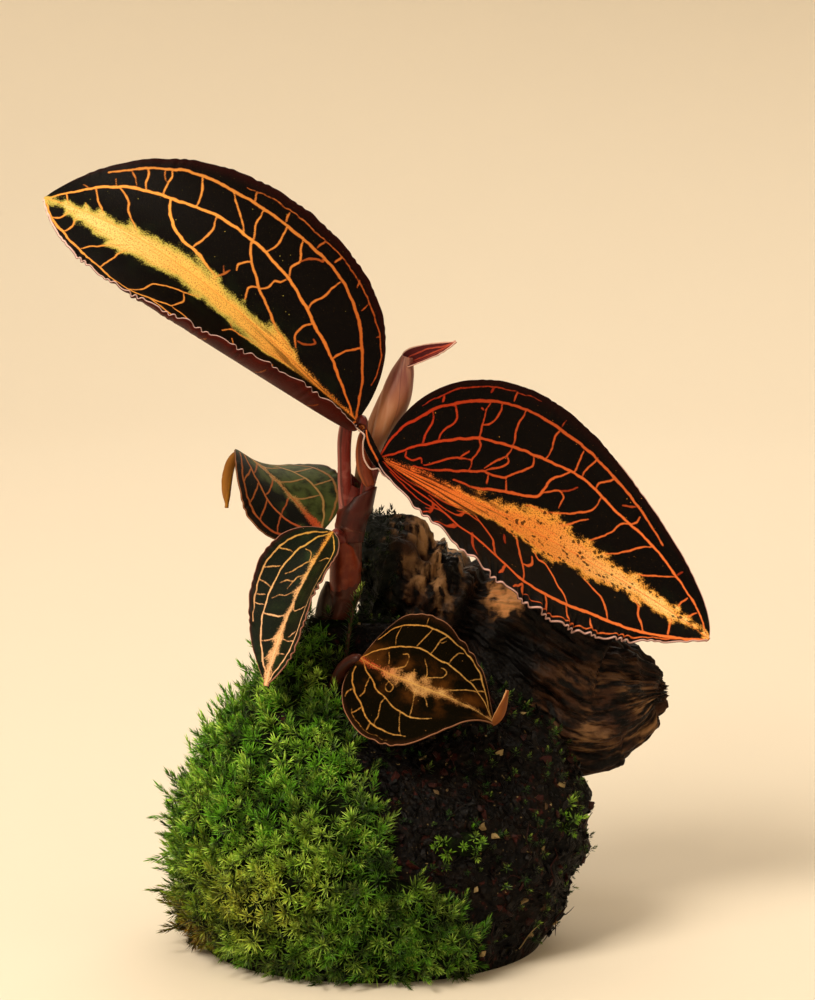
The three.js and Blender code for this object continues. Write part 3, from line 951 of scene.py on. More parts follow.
@dataclass(frozen=True)
class Sheath:
    """A papery sheath round the stem: its path with radii, the slant of its rim in millimetres,
    and the turn at which the rim is highest."""

    path: Path
    slant: float
    high: float
    flare: float = 0.25
    thickness: float = 0.18

    def build(self, name: str, material: Material) -> Piece:
        """Makes the sheath as a closed thin sleeve.

        Args:
            name: the piece's name.
            material: what it is made of.

        Returns:
            The piece.
        """
        sides = 48
        course, across, side, share = Tube(self.path, steps=10).frames()
        angle = circle(sides)
        upper = share[:, None] ** 2
        wave = 0.05 * np.sin(5 * angle) * upper
        radius = course[:, 3:4] + self.flare * share[:, None] ** 6 + wave
        lift = self.slant / 2 * (np.cos(angle - self.high) - 1) * upper
        ahead = np.gradient(course[:, :3], axis=0)
        ahead /= np.linalg.norm(ahead, axis=1, keepdims=True)
        base = course[:, None, :3] + ahead[:, None] * lift[..., None]
        out = Tube.spokes(across, side, angle)
        inner = base + out * (radius - self.thickness)[..., None]
        rings = np.concatenate([base + out * radius[..., None], inner[::-1]], 0)
        faces = grid_faces(len(rings), sides, closed=True)[:, ::-1].tolist()
        last = (len(rings) - 1) * sides
        faces += [[last + k, k, (k + 1) % sides, last + (k + 1) % sides][::-1] for k in range(sides)]
        reach = travelled(course)
        marks = {
            "around": angle / TURN,
            "along": np.concatenate([reach, reach[::-1]])[:, None],
            "rim": np.concatenate([share, share[::-1]])[:, None],
        }
        return mesh_piece(name, rings, faces, marks, material)


@dataclass(frozen=True)
class Leaf:
    """A leaf: its blade with its net of veins, its petiole, and any lobes, curled tips, rolled ends
    and pale crisped hem."""

    node: str
    slot: Slot
    form: BladeForm
    finish: LeafFinish
    skin: SkinFinish
    petiole: Path
    flame: tuple[float, ...]
    veins: tuple[Vein, ...]
    lobes: tuple[tuple[BladeForm, LeafFinish], ...] = ()
    curls: tuple[tuple[Sheath, SkinFinish], ...] = ()
    hem: Path = ()

    def build(self) -> list[Piece]:
        """Makes the leaf's pieces, of which the blade stands for the CAD node.

        Returns:
            The pieces.
        """
        node, form = self.node, self.form
        velvet = self.finish.paint(f"{node}_velvet", form.length)
        pieces = [
            BladeSurface(form).build(f"{node}_blade", velvet, self.veins, self.flame),
            Tube(self.petiole, 20, 14).build(f"{node}_petiole", self.skin.paint(f"{node}_skin")),
        ]
        for number, (form, finish) in enumerate(self.lobes, 1):
            name = f"{node}_lobe_{number}"
            velvet = finish.paint(f"{name}_velvet", form.length)
            pieces.append(BladeSurface(form).build(name, velvet, (rib(0, 0, 50, 0, 100, 0),), NO_FLAME))
        for number, (sheath, skin) in enumerate(self.curls, 1):
            name = f"{node}_curl_{number}"
            pieces.append(sheath.build(name, skin.paint(f"{name}_skin")))
        if self.hem:
            pieces.append(Tube(self.hem, 10, 6).build(f"{node}_hem", HEM_SKIN.paint(f"{node}_hem_skin")))
        return hand_over(self.slot, node, *pieces)


# ---------- the five leaves

NO_FLAME = (0, -900, -900, 100, -900, -900)
MAUVE_SKIN = SkinFinish("6e221a", "a8685e", "2e0c0a")
RED_SKIN = SkinFinish("5e2019", "8a4a42", "2c0c09", 0.1)
# painted shade: a darker copy of the red skin, for the low petiole that lies in shade under the stem
SHADED_RED_SKIN = SkinFinish("35130c", "4e241a", "1a0805", 0.1)
HEM_SKIN = SkinFinish("e4c0b8", "f4dcd4", "c09088")

# The big leaf at the upper left: gold flame, orange net, pale crisped near margin.
UPPER_LEFT = Leaf(
    "leaf_upper_left", Slot.LEAF_DARK,
    BladeForm(
        (0.9, -1.8, 76), 55.5, (185, 173, 161), (44, 38, 12), (-21, -26, -33),
        Half(18.3, 0.3, 0.75, (11, -15), 81, edge=3, crimp=0.34, rim=0.3, frill=0.12),
        Half(18, 0.5, 0.72, (47, 6), 58, crimp=0.1, rim=-0.1), vein_scale=(0.95, 0.95),
    ),
    LeafFinish(
        ("070403", "0c1007", "1e0504"), ("7a2a10", "cc6a26", "e8a048"),
        ("ec8e34", "f2bc58", "f2d080", "b8ac50"), "e0bcb4", "3c0c04", far=-1, feather=0.5, strands=0.6,
    ),
    MAUVE_SKIN,
    petiole=(
        (-0.4, -0.5, 63.4, 0.85), (-0.7, -0.8, 66.5, 1.0), (-0.8, -1.1, 70, 0.95),
        (-0.75, -1.3, 73.5, 1.0), (-0.3, -1.5, 75.9, 0.9), (0.6, -1.8, 76.3, 0.6),
    ),
    flame=(
        0,0,0, 10,5,0, 20,12,2, 25,16,6, 30,22,10, 35,20,5, 40,18,6, 45,20,7, 50,18,9, 55,18,10, 60,18,12,
        65,24,11, 70,26,10, 75,32,8, 80,32,7, 85,30,6, 90,24,6, 95,12,5, 100,0,0,
    ),
    veins=(
        rib(0,0, 5,-15, 10,-22, 15,-29, 25,-37, 30,-42, 40,-49, 50,-53, 60,-56, 70,-55, 80,-58, 87,-57,
            92,-50, 97,-35, 100,0), rib(0,-10, 5,-48, 10,-60, 15,-70, 20,-75, 30,-80, 40,-79, 50,-80,
            60,-82, 70,-87, 80,-87, 88,-85, tone=0.6), hair(3.5,-70, 5,-88, 10,-92, 15,-90, 20,-91, 30,-92,
            40,-91, 50,-92, 58,-90), tie(24,-5, 31,-11, 35,-17, 40,-24, 45.5,-36, 47,-39, 49,-47, 50,-53,
            half_width=0.21), tie(60,-81, 56.5,-68, 52.5,-55), tie(52,-79, 51.5,-66, 50.5,-60, 49.5,-53),
        tie(45.5,-79, 44.7,-70, 44.5,-62, 45.5,-52), tie(41,-79, 39.5,-71, 38,-63, 38.5,-56, 37.2,-48),
        tie(38,-63, 36.7,-70, 35.2,-74.5, 33.8,-77, 34.5,-79, tone=0.2), tie(27.3,-77, 27.7,-68, 27.8,-58,
            29,-47, 28.3,-41), tie(12,-64, 13.5,-52, 14.8,-42, 15.5,-31), tie(68,-86, 66.7,-76, 65.9,-66,
            65.5,-57), tie(75,-87, 74.1,-79, 74.1,-70, 73.7,-57), hair(76.5,-87, 75.7,-79, 74.7,-72.5,
            tone=0.6), tie(80,-86, 79,-77, 78.8,-68, 78,-59), hair(83.5,-87, 81.8,-73, 80.3,-60, tone=0.6),
        hair(85.8,-72, 84.6,-59, tone=0.6), hair(92.5,-68, 90.5,-53, tone=0.6), tie(25.2,-37.5, 26.5,-28,
            26.7,-20, 25.8,-15, 24.3,-11), tie(22.4,-28, 21.5,-26.5, 22,-22.5, 23.5,-18, 25,-16, tone=0.2),
        tie(89.2,-52, 87.6,-37, 86,-22, 84,-9), tie(84,-58, 81.7,-46, 79.8,-37, 79,-26, 77,-17, 74.5,-8),
        tie(95.5,-45, 94,-15, 93,0), hair(89.5,-20, 88.5,-8, tone=0.7), rib(71.7,-54, 70.3,-44, 68.4,-34,
            65.4,-25, 62.5,-21, 59.5,-20, 55.5,-15, 51,-11, tone=1.0), tie(60,-20, 60.3,-23.5, 59.6,-31,
            59,-38.5, 59.1,-46, 60,-54), tie(41.5,-27, 43,-21.5, 42.7,-17, 42,-12), tie(41,-26, 39.8,-30,
            39.5,-36, 39.3,-39, 38,-41, 37.5,-45), tie(46.8,-38.5, 48,-35.5, 48.9,-31, 48.3,-26),
        tie(51.2,-9, 50.4,-15.5, 49.4,-22, tone=0.3), hair(50.2,-17, 51.5,-22.5), tie(55.8,-90, 54.8,-82,
            tone=0.5), tie(47,-90, 46.5,-82, tone=0.5), tie(36.5,-91, 37,-82, tone=0.3), tie(31.3,-92,
            31.6,-84, tone=0.5), hair(24.2,-93, 23.4,-87), hair(18.7,-89, 18.7,-80), hair(10.7,-93,
            11.3,-86), rib(100,30, 96,80, 90,80, 85,81, 75,80, 70,82, 65,78, 60,66, 56.5,58, 54.5,53),
        tie(65,77, 62.8,60, 62,45, 60,37, 58,32, 54.5,26, 51,20), tie(54.5,28, 53.5,34, 53.3,42, 54.5,53),
        tie(83,76, 81.5,60, 79,44, 76,28, 74,20), tie(75.2,80, 75,66, 74.7,54, 74,38, 73,20), tie(90,79,
            89,55, 89.3,33, 88.5,15), tie(95,75, 93,50, 92,15), tie(41,36, 39.5,27, 37,25, 33,22, 28,18,
            24,13), hair(41,20, 38.8,27, tone=0.7), rib(0,20, 6,52, 14,64, 25,70, 40,72, 54,66, 60,66),
        tie(10,58, 14,40, 17,22), tie(22,69, 25,50, 26,30), tie(33,71, 35,52, 38,36), tie(45,72, 48,56,
            54.5,53), tie(16,65, 14,80, 13,92), tie(30,71, 28,84, 27,94), tie(44,72, 43,84, 42,94),
    ),
)

# The big leaf at the upper right: red-orange net, speckled flame, finely crisped margin, and the
# rolled lobe at its base with its hood, core, wing and pale hem.
RIGHT_VELVET = LeafFinish(
    ("070403", "0a0c06", "1a0504"), ("741408", "b03416", "e87838"),
    ("fb7a34", "e69240", "fcdc88", "eca444"), "c49c94", "2e0a04", far=1, specks=0.85, strands=0.85,
)
UPPER_RIGHT = Leaf(
    "leaf_upper_right", Slot.LEAF_DARK,
    BladeForm(
        (4.0, -1.5, 70.7), 56.5, (1, 16, -33), (-23, -30, -31), (29, 40, 18),
        Half(18.5, 0.42, 0.78, (47, 6), 16, crimp=0.06, rim=0.13, rim_from=0.6),
        Half(17.8, 0.49, 0.79, (24, -5), -6, crimp=0.42, rim=0.26), pitch=1.7, vein_scale=(0.9, 1.3),
    ),
    RIGHT_VELVET,
    RED_SKIN,
    petiole=((1.9, -0.5, 63.4, 0.8), (2.5, -0.8, 66.5, 1.0), (3.2, -1.2, 69, 1.0), (4.3, -1.5, 70.6, 0.8)),
    flame=(
        0,2,10, 5,3,25, 10,3,34, 20,3,30, 25,4,24, 30,6,20, 35,9,19, 40,13,20, 45,16,25, 50,20,30, 55,17,23,
        60,17,21, 65,14,24, 70,14,19, 75,16,15, 80,14,16, 85,15,23, 90,13,16, 95,11,12, 100,0,0,
    ),
    veins=(
        rib(0,5, 5.3,23.5, 9,32, 13,38, 17.3,44, 21.7,49, 26,51, 31.3,53, 41,57, 49.5,62, 57,64, 65,62,
            74,66, 82,66, 85.3,63, 93,60, 100,30), rib(0,30, 2,62, 5.5,67, 7.8,73, 12,76.5, 20,81.5, 31,84,
            41.5,84.5, 50,86, 60,86, 68,86, 73.5,83, 78,80, tone=0.7), hair(5,85, 8.5,88, 13,93, 20,94,
            26,94, 33.5,95, tone=0.5), hair(42,93, 41.5,85), tie(9.5,80, 9.3,87), tie(20,89, 20,94,
            tone=0.2), tie(26.5,87, 26.2,94), tie(8,72, 8.9,63, 9,52, 8.8,43, 8.9,34), tie(11.8,76, 13.2,73,
            14.5,62, 14.1,56, 12.8,51, 12.3,45, 12.4,38.5), tie(21,81, 20.7,72.5, 21.4,62, 21.8,52, 22.5,47,
            23.3,43, 23.2,37, 22.5,31, 23,26, 22.6,21), tie(19.3,75, 20,73), tie(24,82, 24.3,75, 23.9,67,
            23,62, 21.7,60), tie(31.3,53, 31.2,59, 30.5,65, 30.3,71, 30.5,77, 30.5,84), tie(41.3,57.5,
            41.6,68, 41.1,79, 41.5,84), tie(50,63, 50.1,73, 50,83), tie(52.5,63, 52.4,70, 53.7,81, 54.2,88),
        tie(57,65, 57.3,71, 59.5,80, 60.3,85), tie(65,72, 68.5,84, tone=0.3), tie(69,64, 70,72, 70.2,79),
        tie(84,66, 85,82, tone=0.1), tie(22.4,30, 20,28.5, 18.4,28, 16,23, 14.5,19, 13,15.5, 11.5,12),
        tie(20.9,36.5, 19.7,30), tie(6,23, 6.2,15, 8,13, 10,17, 10.8,13), tie(9,7, 13.7,10, 18,15, 23,21,
            26.4,25.5, 28,25, 31,27, 33,29, 35.2,36, 37.2,42, 38.6,47, 38.4,51, 37.8,54, half_width=0.2),
        tie(31.3,53, 31.5,48, 31,44, 32,41, 31.4,37, 30,33, 28.3,29.5, 27.2,27), tie(31,44, 29.1,38.5,
            27.6,33, 26.6,28), tie(33,29, 33.7,23.5, 34.7,19), tie(28.3,23.5, 28.7,17), rib(20,9, 25.7,10,
            30.7,15, 36,20, 39.5,23, 43,28, 44.1,37, 44.4,42, 45.3,48, 46.8,53, 49,61), tie(41,16, 43,19,
            47.1,20, 51.4,27, 55.3,36, 58,45, 59,52, 59.3,62), tie(52,17, 54.1,22, 56.2,30, 58.3,36.5),
        tie(44,33, 45.55,36, 48,42, 49.8,40, 50,35, 49.8,29), tie(48.3,42, 50.5,47, 52.5,54, tone=0.2),
        tie(69,64, 66.7,55, 65,40, 63.5,31, 60.8,20), tie(76,66, 73.3,50, 71,37, 69,27, 66,17), tie(84,62,
            81.5,45, 78,28, 75.5,20), tie(89,55, 88.5,20), tie(93,50, 92,15), rib(1,-20, 4,-50, 9,-55,
            15,-57, 20,-65, 25,-64, 30,-68, 35,-72, 40,-76, 50,-75, 65,-71, 72,-72, 80,-75, 94,-80, 100,-80,
            tone=1.0), hair(41,-90, 46,-93, 52,-94, 60,-93, 70,-92, 80,-91, 90,-88, 99,-80, tone=0.8),
        tie(13.5,-53, 13.8,-67, 12.7,-85, 11,-94), tie(3,-60, 7,-72, 10,-75, 13,-70, 15.5,-62, 18,-60),
        tie(4,-35, 8,-42, 12,-38, 16,-38, 19.5,-33, 25,-23, tone=0.6), tie(14,-96, 16.8,-85, 19.3,-69),
        tie(13,-44, 16,-50, 19,-50, 21.4,-44, 23.5,-30), tie(26,-25, 27.5,-32, 29.8,-42, 31.1,-50, 31.1,-64,
            32,-70), tie(36,-17, 37.5,-20, 39.3,-25, 39.9,-36, 40.2,-49, 41,-60, 40.8,-75), tie(41,-55,
            42.8,-53, 44.2,-46, 44.3,-38), tie(35.2,-30, 35.2,-42, tone=0.2), tie(21,-38, 24,-32, 27,-33),
        tie(45,-30, 46.5,-36, 49,-37, 51,-44, 53,-54, 55.5,-62, 58,-74, tone=1.0), tie(62,-28, 65.3,-35,
            68.3,-42, 70.9,-56, 72.2,-69), tie(77.5,-20, 79.3,-25, 80.6,-43, 82.8,-60, 84.5,-77),
        tie(89,-15, 90,-40, 91,-70), tie(14,-55, 13.5,-72, 12,-82, tone=0.6), tie(15,-93, 17.5,-82, 20,-68,
            tone=0.6), tie(24.5,-60, 24.3,-73, 24.3,-85, 24.8,-92, tone=0.6), tie(34.5,-71, 33.5,-82,
            32.5,-88), tie(40.5,-80, 38.5,-88, 36.5,-95), tie(40.5,-80, 40.2,-93), tie(49,-75, 49.5,-86,
            49.5,-95), tie(57,-75, 58,-88, 60,-95), tie(66.5,-78, 68,-93),
    ),
    lobes=((
        BladeForm(
            (7.0, -2.3, 66.9), 9.6, (184, 182, 180), (44, 58, 84), (-62, -65, -60),
            Half(1.0, 0.9, 0.35, (0, 0), 8, crimp=0, rim=0),
            Half(0.9, 0.4, 0.4, (20, 20), 40, crimp=0, rim=-0.1), rows=110, columns=16,
        ),
        RIGHT_VELVET,
    ),),
    curls=(
        (
            Sheath(((1.7, -1.2, 76.4, 0.7), (1.72, -2.0, 76.0, 0.9), (1.75, -2.9, 75.3, 0.85)), 0.3, 0.0,
                   flare=0.0, thickness=0.3),
            SkinFinish("260806", "4a160e", "120403"),
        ),
        (
            Sheath(((1.7, -1.2, 76.2, 0.4), (1.72, -1.9, 75.7, 0.42), (1.75, -2.5, 75.2, 0.4)), 0.3, 0.0,
                   flare=0.0, thickness=0.14),
            SkinFinish("c05a22", "e08a48", "5a2010"),
        ),
        (
            Sheath(((2.9, -1.2, 67.0, 0.9), (2.2, -1.5, 69.2, 1.15), (1.8, -1.7, 71.5, 1.0),
                    (1.8, -1.8, 73.6, 0.7), (2.0, -1.8, 75.0, 0.35)), 0.2, 0.0, flare=0.0),
            SkinFinish("7a3218", "a8603a", "4a1a0c"),
        ),
    ),
    hem=tuple((*place, 0.11) for place in (
        (0.6, -3.3, 76.4), (0.4, -3.3, 75.8), (0.9, -3.4, 75.5), (1.5, -3.5, 75), (2.1, -3.5, 74.4),
        (1.9, -3.5, 73.4), (1.9, -3.5, 71.9), (2.2, -3.5, 70.7), (3, -3.5, 69.6), (4.1, -3.4, 69.6),
        (4.7, -3.3, 68.7), (5.7, -3.2, 68.2), (6.6, -3.1, 68.1), (6.7, -3, 67), (7.5, -2.9, 66.1),
    )),
)

# The small leaf behind the stem, with a dried and curled tip.
DRY_CURL = Half(1.3, 0.4, 0.8, (30, 30), 30, crimp=0.05, rim=0.12)
BACK_LEFT = Leaf(
    "leaf_back_left", Slot.LEAF_GREEN,
    BladeForm(
        (-4.4, 7.4, 58.4), 17.5, (164, 158, 151), (45, 43, 21), (-27, -12, 30),
        Half(9.7, 0.5, 0.63, (6, -1), -9, rim=0.1), Half(10.0, 0.5, 0.62, (24, -8), -8, rim=0.16),
        vein_scale=(0.75, 0.75), rows=150, columns=60,
    ),
    LeafFinish(
        ("0b0b07", "465028", "20120a"), ("7a3a1c", "b8502a", "a8642c"),
        ("c0502c", "a84a28", "b0642c", "a88a50"), "8a5a3c", "4a2a1c", lit=-1, feather=0.3, halo=0.9,
    ),
    RED_SKIN,
    petiole=((-0.3, 0.8, 55.4, 0.7), (-1.6, 3.6, 56.4, 0.8), (-4.2, 7.2, 58.2, 0.7)),
    flame=(0,10,10, 20,3,3, 50,0,0, 90,3,3, 100,0,0),
    veins=(
        rib(0,10, 10,35, 30,46, 60,46, 85,40, 100,0), rib(3,60, 15,82, 40,86, 70,84, 92,60, tone=0.5),
        rib(0,-10, 10,-35, 30,-46, 60,-46, 85,-40, 100,0), rib(3,-60, 15,-78, 40,-82, 70,-80, 92,-60,
            tone=0.5), tie(20,84, 27,60, 30,46), tie(36,86, 43,60, 47,46), tie(52,86, 58,60, 63,46),
        tie(68,85, 72,60, 76,43), tie(30,46, 36,20, 40,3), tie(50,47, 55,20, 60,3), tie(70,45, 75,20, 80,3),
        tie(25,-44, 30,-20, 35,-3), tie(45,-46, 50,-20, 55,-3), tie(66,-45, 70,-20, 74,-3), tie(30,-80,
            33,-60, 36,-46), tie(50,-82, 53,-60, 56,-46), tie(68,-80, 70,-60, 73,-45),
    ),
    lobes=((
        BladeForm(
            (-16.3, 12.3, 69.5), 8.6, (185, 190, 200), (-60, -78, -86), (30, 60, 90), DRY_CURL, DRY_CURL,
            rows=40, columns=10,
        ),
        LeafFinish(
            ("a8782e", "c9932c", "7a4a1e"), ("8a4a24", "d09c3c", "d89a28"),
            ("c48a34", "c98a2a", "c9861f", "b87a2a"), "8a5a2c", "8a5a24",
        ),
    ),),
)

# The small hanging leaf in front, with green cells between straw-coloured veins.
FRONT_LEFT = Leaf(
    "leaf_front_left", Slot.LEAF_GREEN,
    BladeForm(
        (-2.3, -3.1, 60.4), 24, (204, 217, 232), (-54, -60, -68), (-28, 2, -8),
        Half(8.2, 0.65, 1.03, (18, 3), 18, crimp=0.2, rim=0.14, frill=0.16),
        Half(7.9, 0.61, 1.05, (31, 9), 17, crimp=0.1, rim=0.08),
        vein_scale=(0.52, 0.52), rows=180, columns=75,
    ),
    LeafFinish(
        ("0c1208", "1e2c14", "2a100a"), ("8a5028", "d0a848", "e8bc90"),
        ("d08834", "dcb450", "ecc4a0", "d0a070"), "9a6a58", "42201a", feather=0.3, halo=0.8,
    ),
    RED_SKIN,
    petiole=((-0.6, -0.8, 58.2, 0.7), (-1.5, -2.1, 59.6, 0.85), (-2.3, -3.0, 60.3, 0.75)),
    flame=(0,5,5, 10,2,2, 50,2,2, 60,4,4, 72,11,11, 85,13,13, 93,10,10, 100,0,0),
    veins=(
        rib(0,-10, 5,-30, 10,-38, 20,-46, 30,-53, 40,-55, 50,-60, 60,-63, 70,-64, 80,-58, 90,-45, 100,0),
        rib(2,-40, 7,-65, 13,-75, 20,-80, 30,-84, 40,-87, 50,-88, 66,-88, tone=0.7), tie(23,-80, 21.5,-62,
            21.5,-53), tie(36,-85, 33.5,-70, 31.5,-57), tie(43,-88, 43,-75, 44,-60), tie(51,-87, 49.5,-65),
        tie(55.5,-87, 55,-65), tie(16.5,-35, 17,-20, 20,-13, 22,-12), tie(34.5,-42, 32,-33, 28,-25, 24,-17,
            21,-4), tie(40,-44, 37.5,-33, 36.5,-22, 33,-17, 30,-5), hair(37,-22, 42,-26, tone=0.8),
        tie(50,-50, 47,-36, 46,-25, 43,-13, 40,-3), rib(60,-62, 59,-42, 59,-25, 57,-10), tie(75,-62,
            73.5,-35, 71,-10), tie(85,-50, 82,-20), tie(20,20, 17,50, 16,80), tie(50,8, 53,20, 51,50,
            49,80), tie(71,0, 71.5,50, 71,80), tie(69,40, 65,70), tie(80,20, 80,60), rib(2,30, 10,70, 30,75,
            50,76, 70,78, 85,70, 97,40),
    ),
)

# The small olive leaf low in front, with curled vein ends and an upturned tip.
TIP_CURL = Half(1.5, 0.4, 0.7, (35, 20), 20, crimp=0.04, rim=0.22)
LOWER_FRONT = Leaf(
    "leaf_lower_front", Slot.LEAF_OLIVE,
    BladeForm(
        (1.6, -9.0, 43.3), 21.5, (-31, -16, -22), (-25, -18, -35), (41, 59, 0),
        Half(9.9, 0.4, 0.77, (15, -9), -1, crimp=0.2, rim=0.12, frill=0.14),
        Half(10.4, 0.44, 0.75, (16, 25), -9, crimp=0.24, rim=0.12, frill=0.14),
        pitch=2.3, vein_scale=(0.45, 0.45), rows=180, columns=75,
    ),
    LeafFinish(
        ("0c0904", "4a2a0e", "24140a"), ("6a4220", "b8843c", "bc9450"),
        ("b04428", "c8a064", "b08c50", "946a3c"), "8a6048", "3a2414", feather=0.6, halo=1.2, gloss=0.0,
    ),
    SHADED_RED_SKIN,
    petiole=((-2.6, -5.5, 38, 0.7), (-1.2, -7, 41.2, 0.85), (0.3, -8.2, 42.9, 0.8), (1.7, -9, 43.3, 0.7)),
    flame=(0,0,0, 10,0,0, 20,2,0, 30,5,5, 40,8,8, 50,6,10, 60,3,5, 70,2,5, 85,2,3, 100,0,0),
    veins=(
        rib(0,10, 5,28, 10,35, 20,43, 30,49, 40,50, 50,49, 60,51, 70,53, 80,56, 88,60, 95,40, 100,0),
        rib(3,70, 10,80, 20,79, 30,82, 40,85, 50,87, 60,88, 70,90, 80,85, 88,74, 95,50), tie(15.5,80,
            15.5,62, 18,43), tie(38,85, 36.5,73, 34.5,62, 32.5,52), tie(48,87, 45.5,72, 44.5,62, 43,52),
        hair(49,80, 47,73, 45.5,72, tone=0.7), tie(61,83, 58,75, 56.5,65, 56,52), tie(76,85, 73,65,
            71.5,57), tie(82,85, 79.5,65, 78,55), hair(33,84, 33,95, tone=0.6), tie(16.2,32, 18,23,
            19.5,13), tie(25.5,34, 28.5,37, 31,32, 30.8,20, 27.5,14, 24,7), tie(37,20, 37.5,12, 35.5,5),
        tie(40.5,40, 44,31, 46,20, 46.5,14, 51.5,21, 55.5,27, 57,36, 54.5,40, 52.5,40), tie(60,6, 67,20,
            73.5,38, 79,55), rib(2,-5, 7,-16, 16,-26, 22,-33, 28,-37, 39,-47, 50,-52, 57,-54, 63,-55),
        rib(2,-45, 6,-60, 10,-64, 15,-66, 19,-70, 23.5,-76, 28.5,-79, 33.5,-81, 44.5,-83, 52,-86),
        hair(15,-86, 17,-90, 22,-92, 33,-93, 43,-95, tone=0.7), tie(13,-24, 14.5,-38, 15.5,-50, 15,-60),
        tie(28,-38, 28,-50, 30,-66, 30,-78), tie(41,-50, 44,-66, 48,-83), tie(19,-72, 17.5,-83, 16.5,-90),
        tie(28,-80, 28,-90), tie(9,-66, 8.5,-80, 9,-90), tie(20,-3, 23.5,-10, 27,-14, 29.5,-18, 29.3,-24,
            27,-26, 25,-21, 25,-14), tie(44,-12, 45.5,-26, 47,-40, 48,-50), tie(50,-12, 54,-22, 56,-30),
    ),
    lobes=((
        BladeForm(
            (20.1, -15.6, 35.4), 5.6, (-10, 10, 30), (20, 75, 80), (0, -20, -30), TIP_CURL, TIP_CURL,
            rows=40, columns=10,
        ),
        LeafFinish(
            ("6a3018", "8a4a24", "7a4a1e"), ("8a3a20", "a85a30", "b8783c"),
            ("a85a30", "a85a30", "b87a3c", "a8683c"), "c09060", "6a3a1c",
        ),
    ),),
)


# ---------- the youngest leaf and the stem


@dataclass(frozen=True)
class RolledFinish:
    """The youngest leaf's dusty skin, from base to mouth, with its seam and faint veins."""

    base: str = "665a3a"
    middle: str = "a86e46"
    mouth: str = "7c4038"
    bloom_and_sheen: str = "b98a70"
    seam: str = "5a2a22"

    def paint(self, name: str, length: float) -> Material:
        """Writes the material.

        Args:
            name: its name.
            length: the roll's length.

        Returns:
            The material.
        """
        p = Paint(name)
        around, along = p.mark("around"), p.mark("along")
        share = along / length
        streaks = p.grain(1.6, 3, (0.25, 1.6, 1.0), p.flat(along, around * 14.0))
        wave = abs(around.sum("SINE", around * 16.0))
        colour = p.coat(
            self.base,
            (share.step(0.1, 0.45), self.middle),
            (share.step(0.55, 0.95), self.mouth),
            (streaks.step(0.42, 0.72) * 0.5, self.bloom_and_sheen),
            (wave.step(0.16, 0.02) * 0.45, self.seam),
            (p.mark("lip").step(0.5, 1.0), self.bloom_and_sheen),
        )
        return p.dress(
            colour, 0.5, streaks * 0.5 + p.grain(0.3) * 0.4, 0.06, Sheen_Weight=0.2, Sheen_Roughness=0.4,
            Sheen_Tint=tint(self.bloom_and_sheen), Subsurface_Weight=0.2, Subsurface_Scale=0.8 * MM,
        )


@dataclass(frozen=True)
class RolledLeaf:
    """The youngest leaf: a blade rolled up on itself, which opens into a pointed flap."""

    roll: Path = (
        (0.9, 1.1, 63.6, 0.75), (1.6, 2.2, 67, 1.2), (2.6, 2.9, 71, 1.7), (4.2, 3.3, 74.6, 2.2),
        (6.2, 3.8, 78.4, 2.55), (7.5, 4.0, 82, 1.85), (8.2, 4.0, 84.6, 0.9),
    )
    length: float = 22.0
    turns: float = 1.55
    tightening: float = 0.3
    thickness: float = 0.22
    seam_turn: float = 0.9
    finish: RolledFinish = RolledFinish()
    open_half: Half = Half(2.1, 0.2, 0.8, (35, 30), 10, crimp=0.06, rim=0.16)
    flap: BladeForm = BladeForm(
        (7.9, 4.0, 83.3), 8.1, (8, 8, 5), (24, 22, 35), (40, 40, 40), open_half, open_half,
        thickness=0.35, rows=70, columns=20,
    )
    flap_veins: tuple[Vein, ...] = (
        rib(0, 0, 50, 4, 100, 0), hair(0, 40, 50, 50, 90, 30, tone=0.8),
        hair(0, -40, 50, -50, 90, -30, tone=0.8),
    )
    flap_finish: LeafFinish = LeafFinish(
        ("4a1a1c", "5c2524", "6a3a34"), ("8a2f24", "a03c2c", "b0523a"),
        ("7a2f28", "7a2f28", "7a2f28", "6a2a24"), "c8a090", "a0685a",
    )

    def scroll(self) -> Piece:
        """Makes the roll, a closed thin sheet whose section winds inward.

        Returns:
            The piece.
        """
        course, across, side, share = Tube(self.roll, steps=14).frames()
        count, rows = 90, len(course)
        wind = np.linspace(0, 1, count)
        angle = math.pi * (1.42 - self.seam_turn * share)[:, None] + TURN * self.turns * wind
        radius = course[:, 3:4] * (1 - self.tightening * wind)
        thick = np.minimum(self.thickness, 0.12 * course[:, 3:4])
        out = Tube.spokes(across, side, angle)
        outer, inner = (course[:, None, :3] + out * r[..., None] for r in (radius, radius - thick))
        faces = grid_faces(rows, 2 * count, closed=True)[:, ::-1].tolist()
        for row, turn in ((0, 1), (rows - 1, -1)):
            for k in range(count - 1):
                a, b = row * 2 * count + k, row * 2 * count + 2 * count - 1 - k
                faces.append([a, a + 1, b - 1, b][::-turn])
        lip = smooth(0.04, 0.0, wind)
        marks = {
            "along": travelled(course)[:, None],
            "around": np.concatenate([wind, wind[::-1]]) * self.turns,
            "lip": np.concatenate([lip, lip[::-1]]),
        }
        rings = np.concatenate([outer, inner[:, ::-1]], 1)
        skin = self.finish.paint("leaf_new_skin", self.length)
        return mesh_piece("leaf_new_roll", rings, faces, marks, skin)

    def build(self) -> list[Piece]:
        """Makes the roll and its flap.

        Returns:
            The pieces.
        """
        roll, inner = self.scroll(), self.flap_finish.paint("leaf_new_inner", self.flap.length)
        flap = BladeSurface(self.flap).build("leaf_new_flap", inner, self.flap_veins, NO_FLAME)
        return hand_over(Slot.LEAF_YOUNG, "leaf_new_rolled", roll, flap)


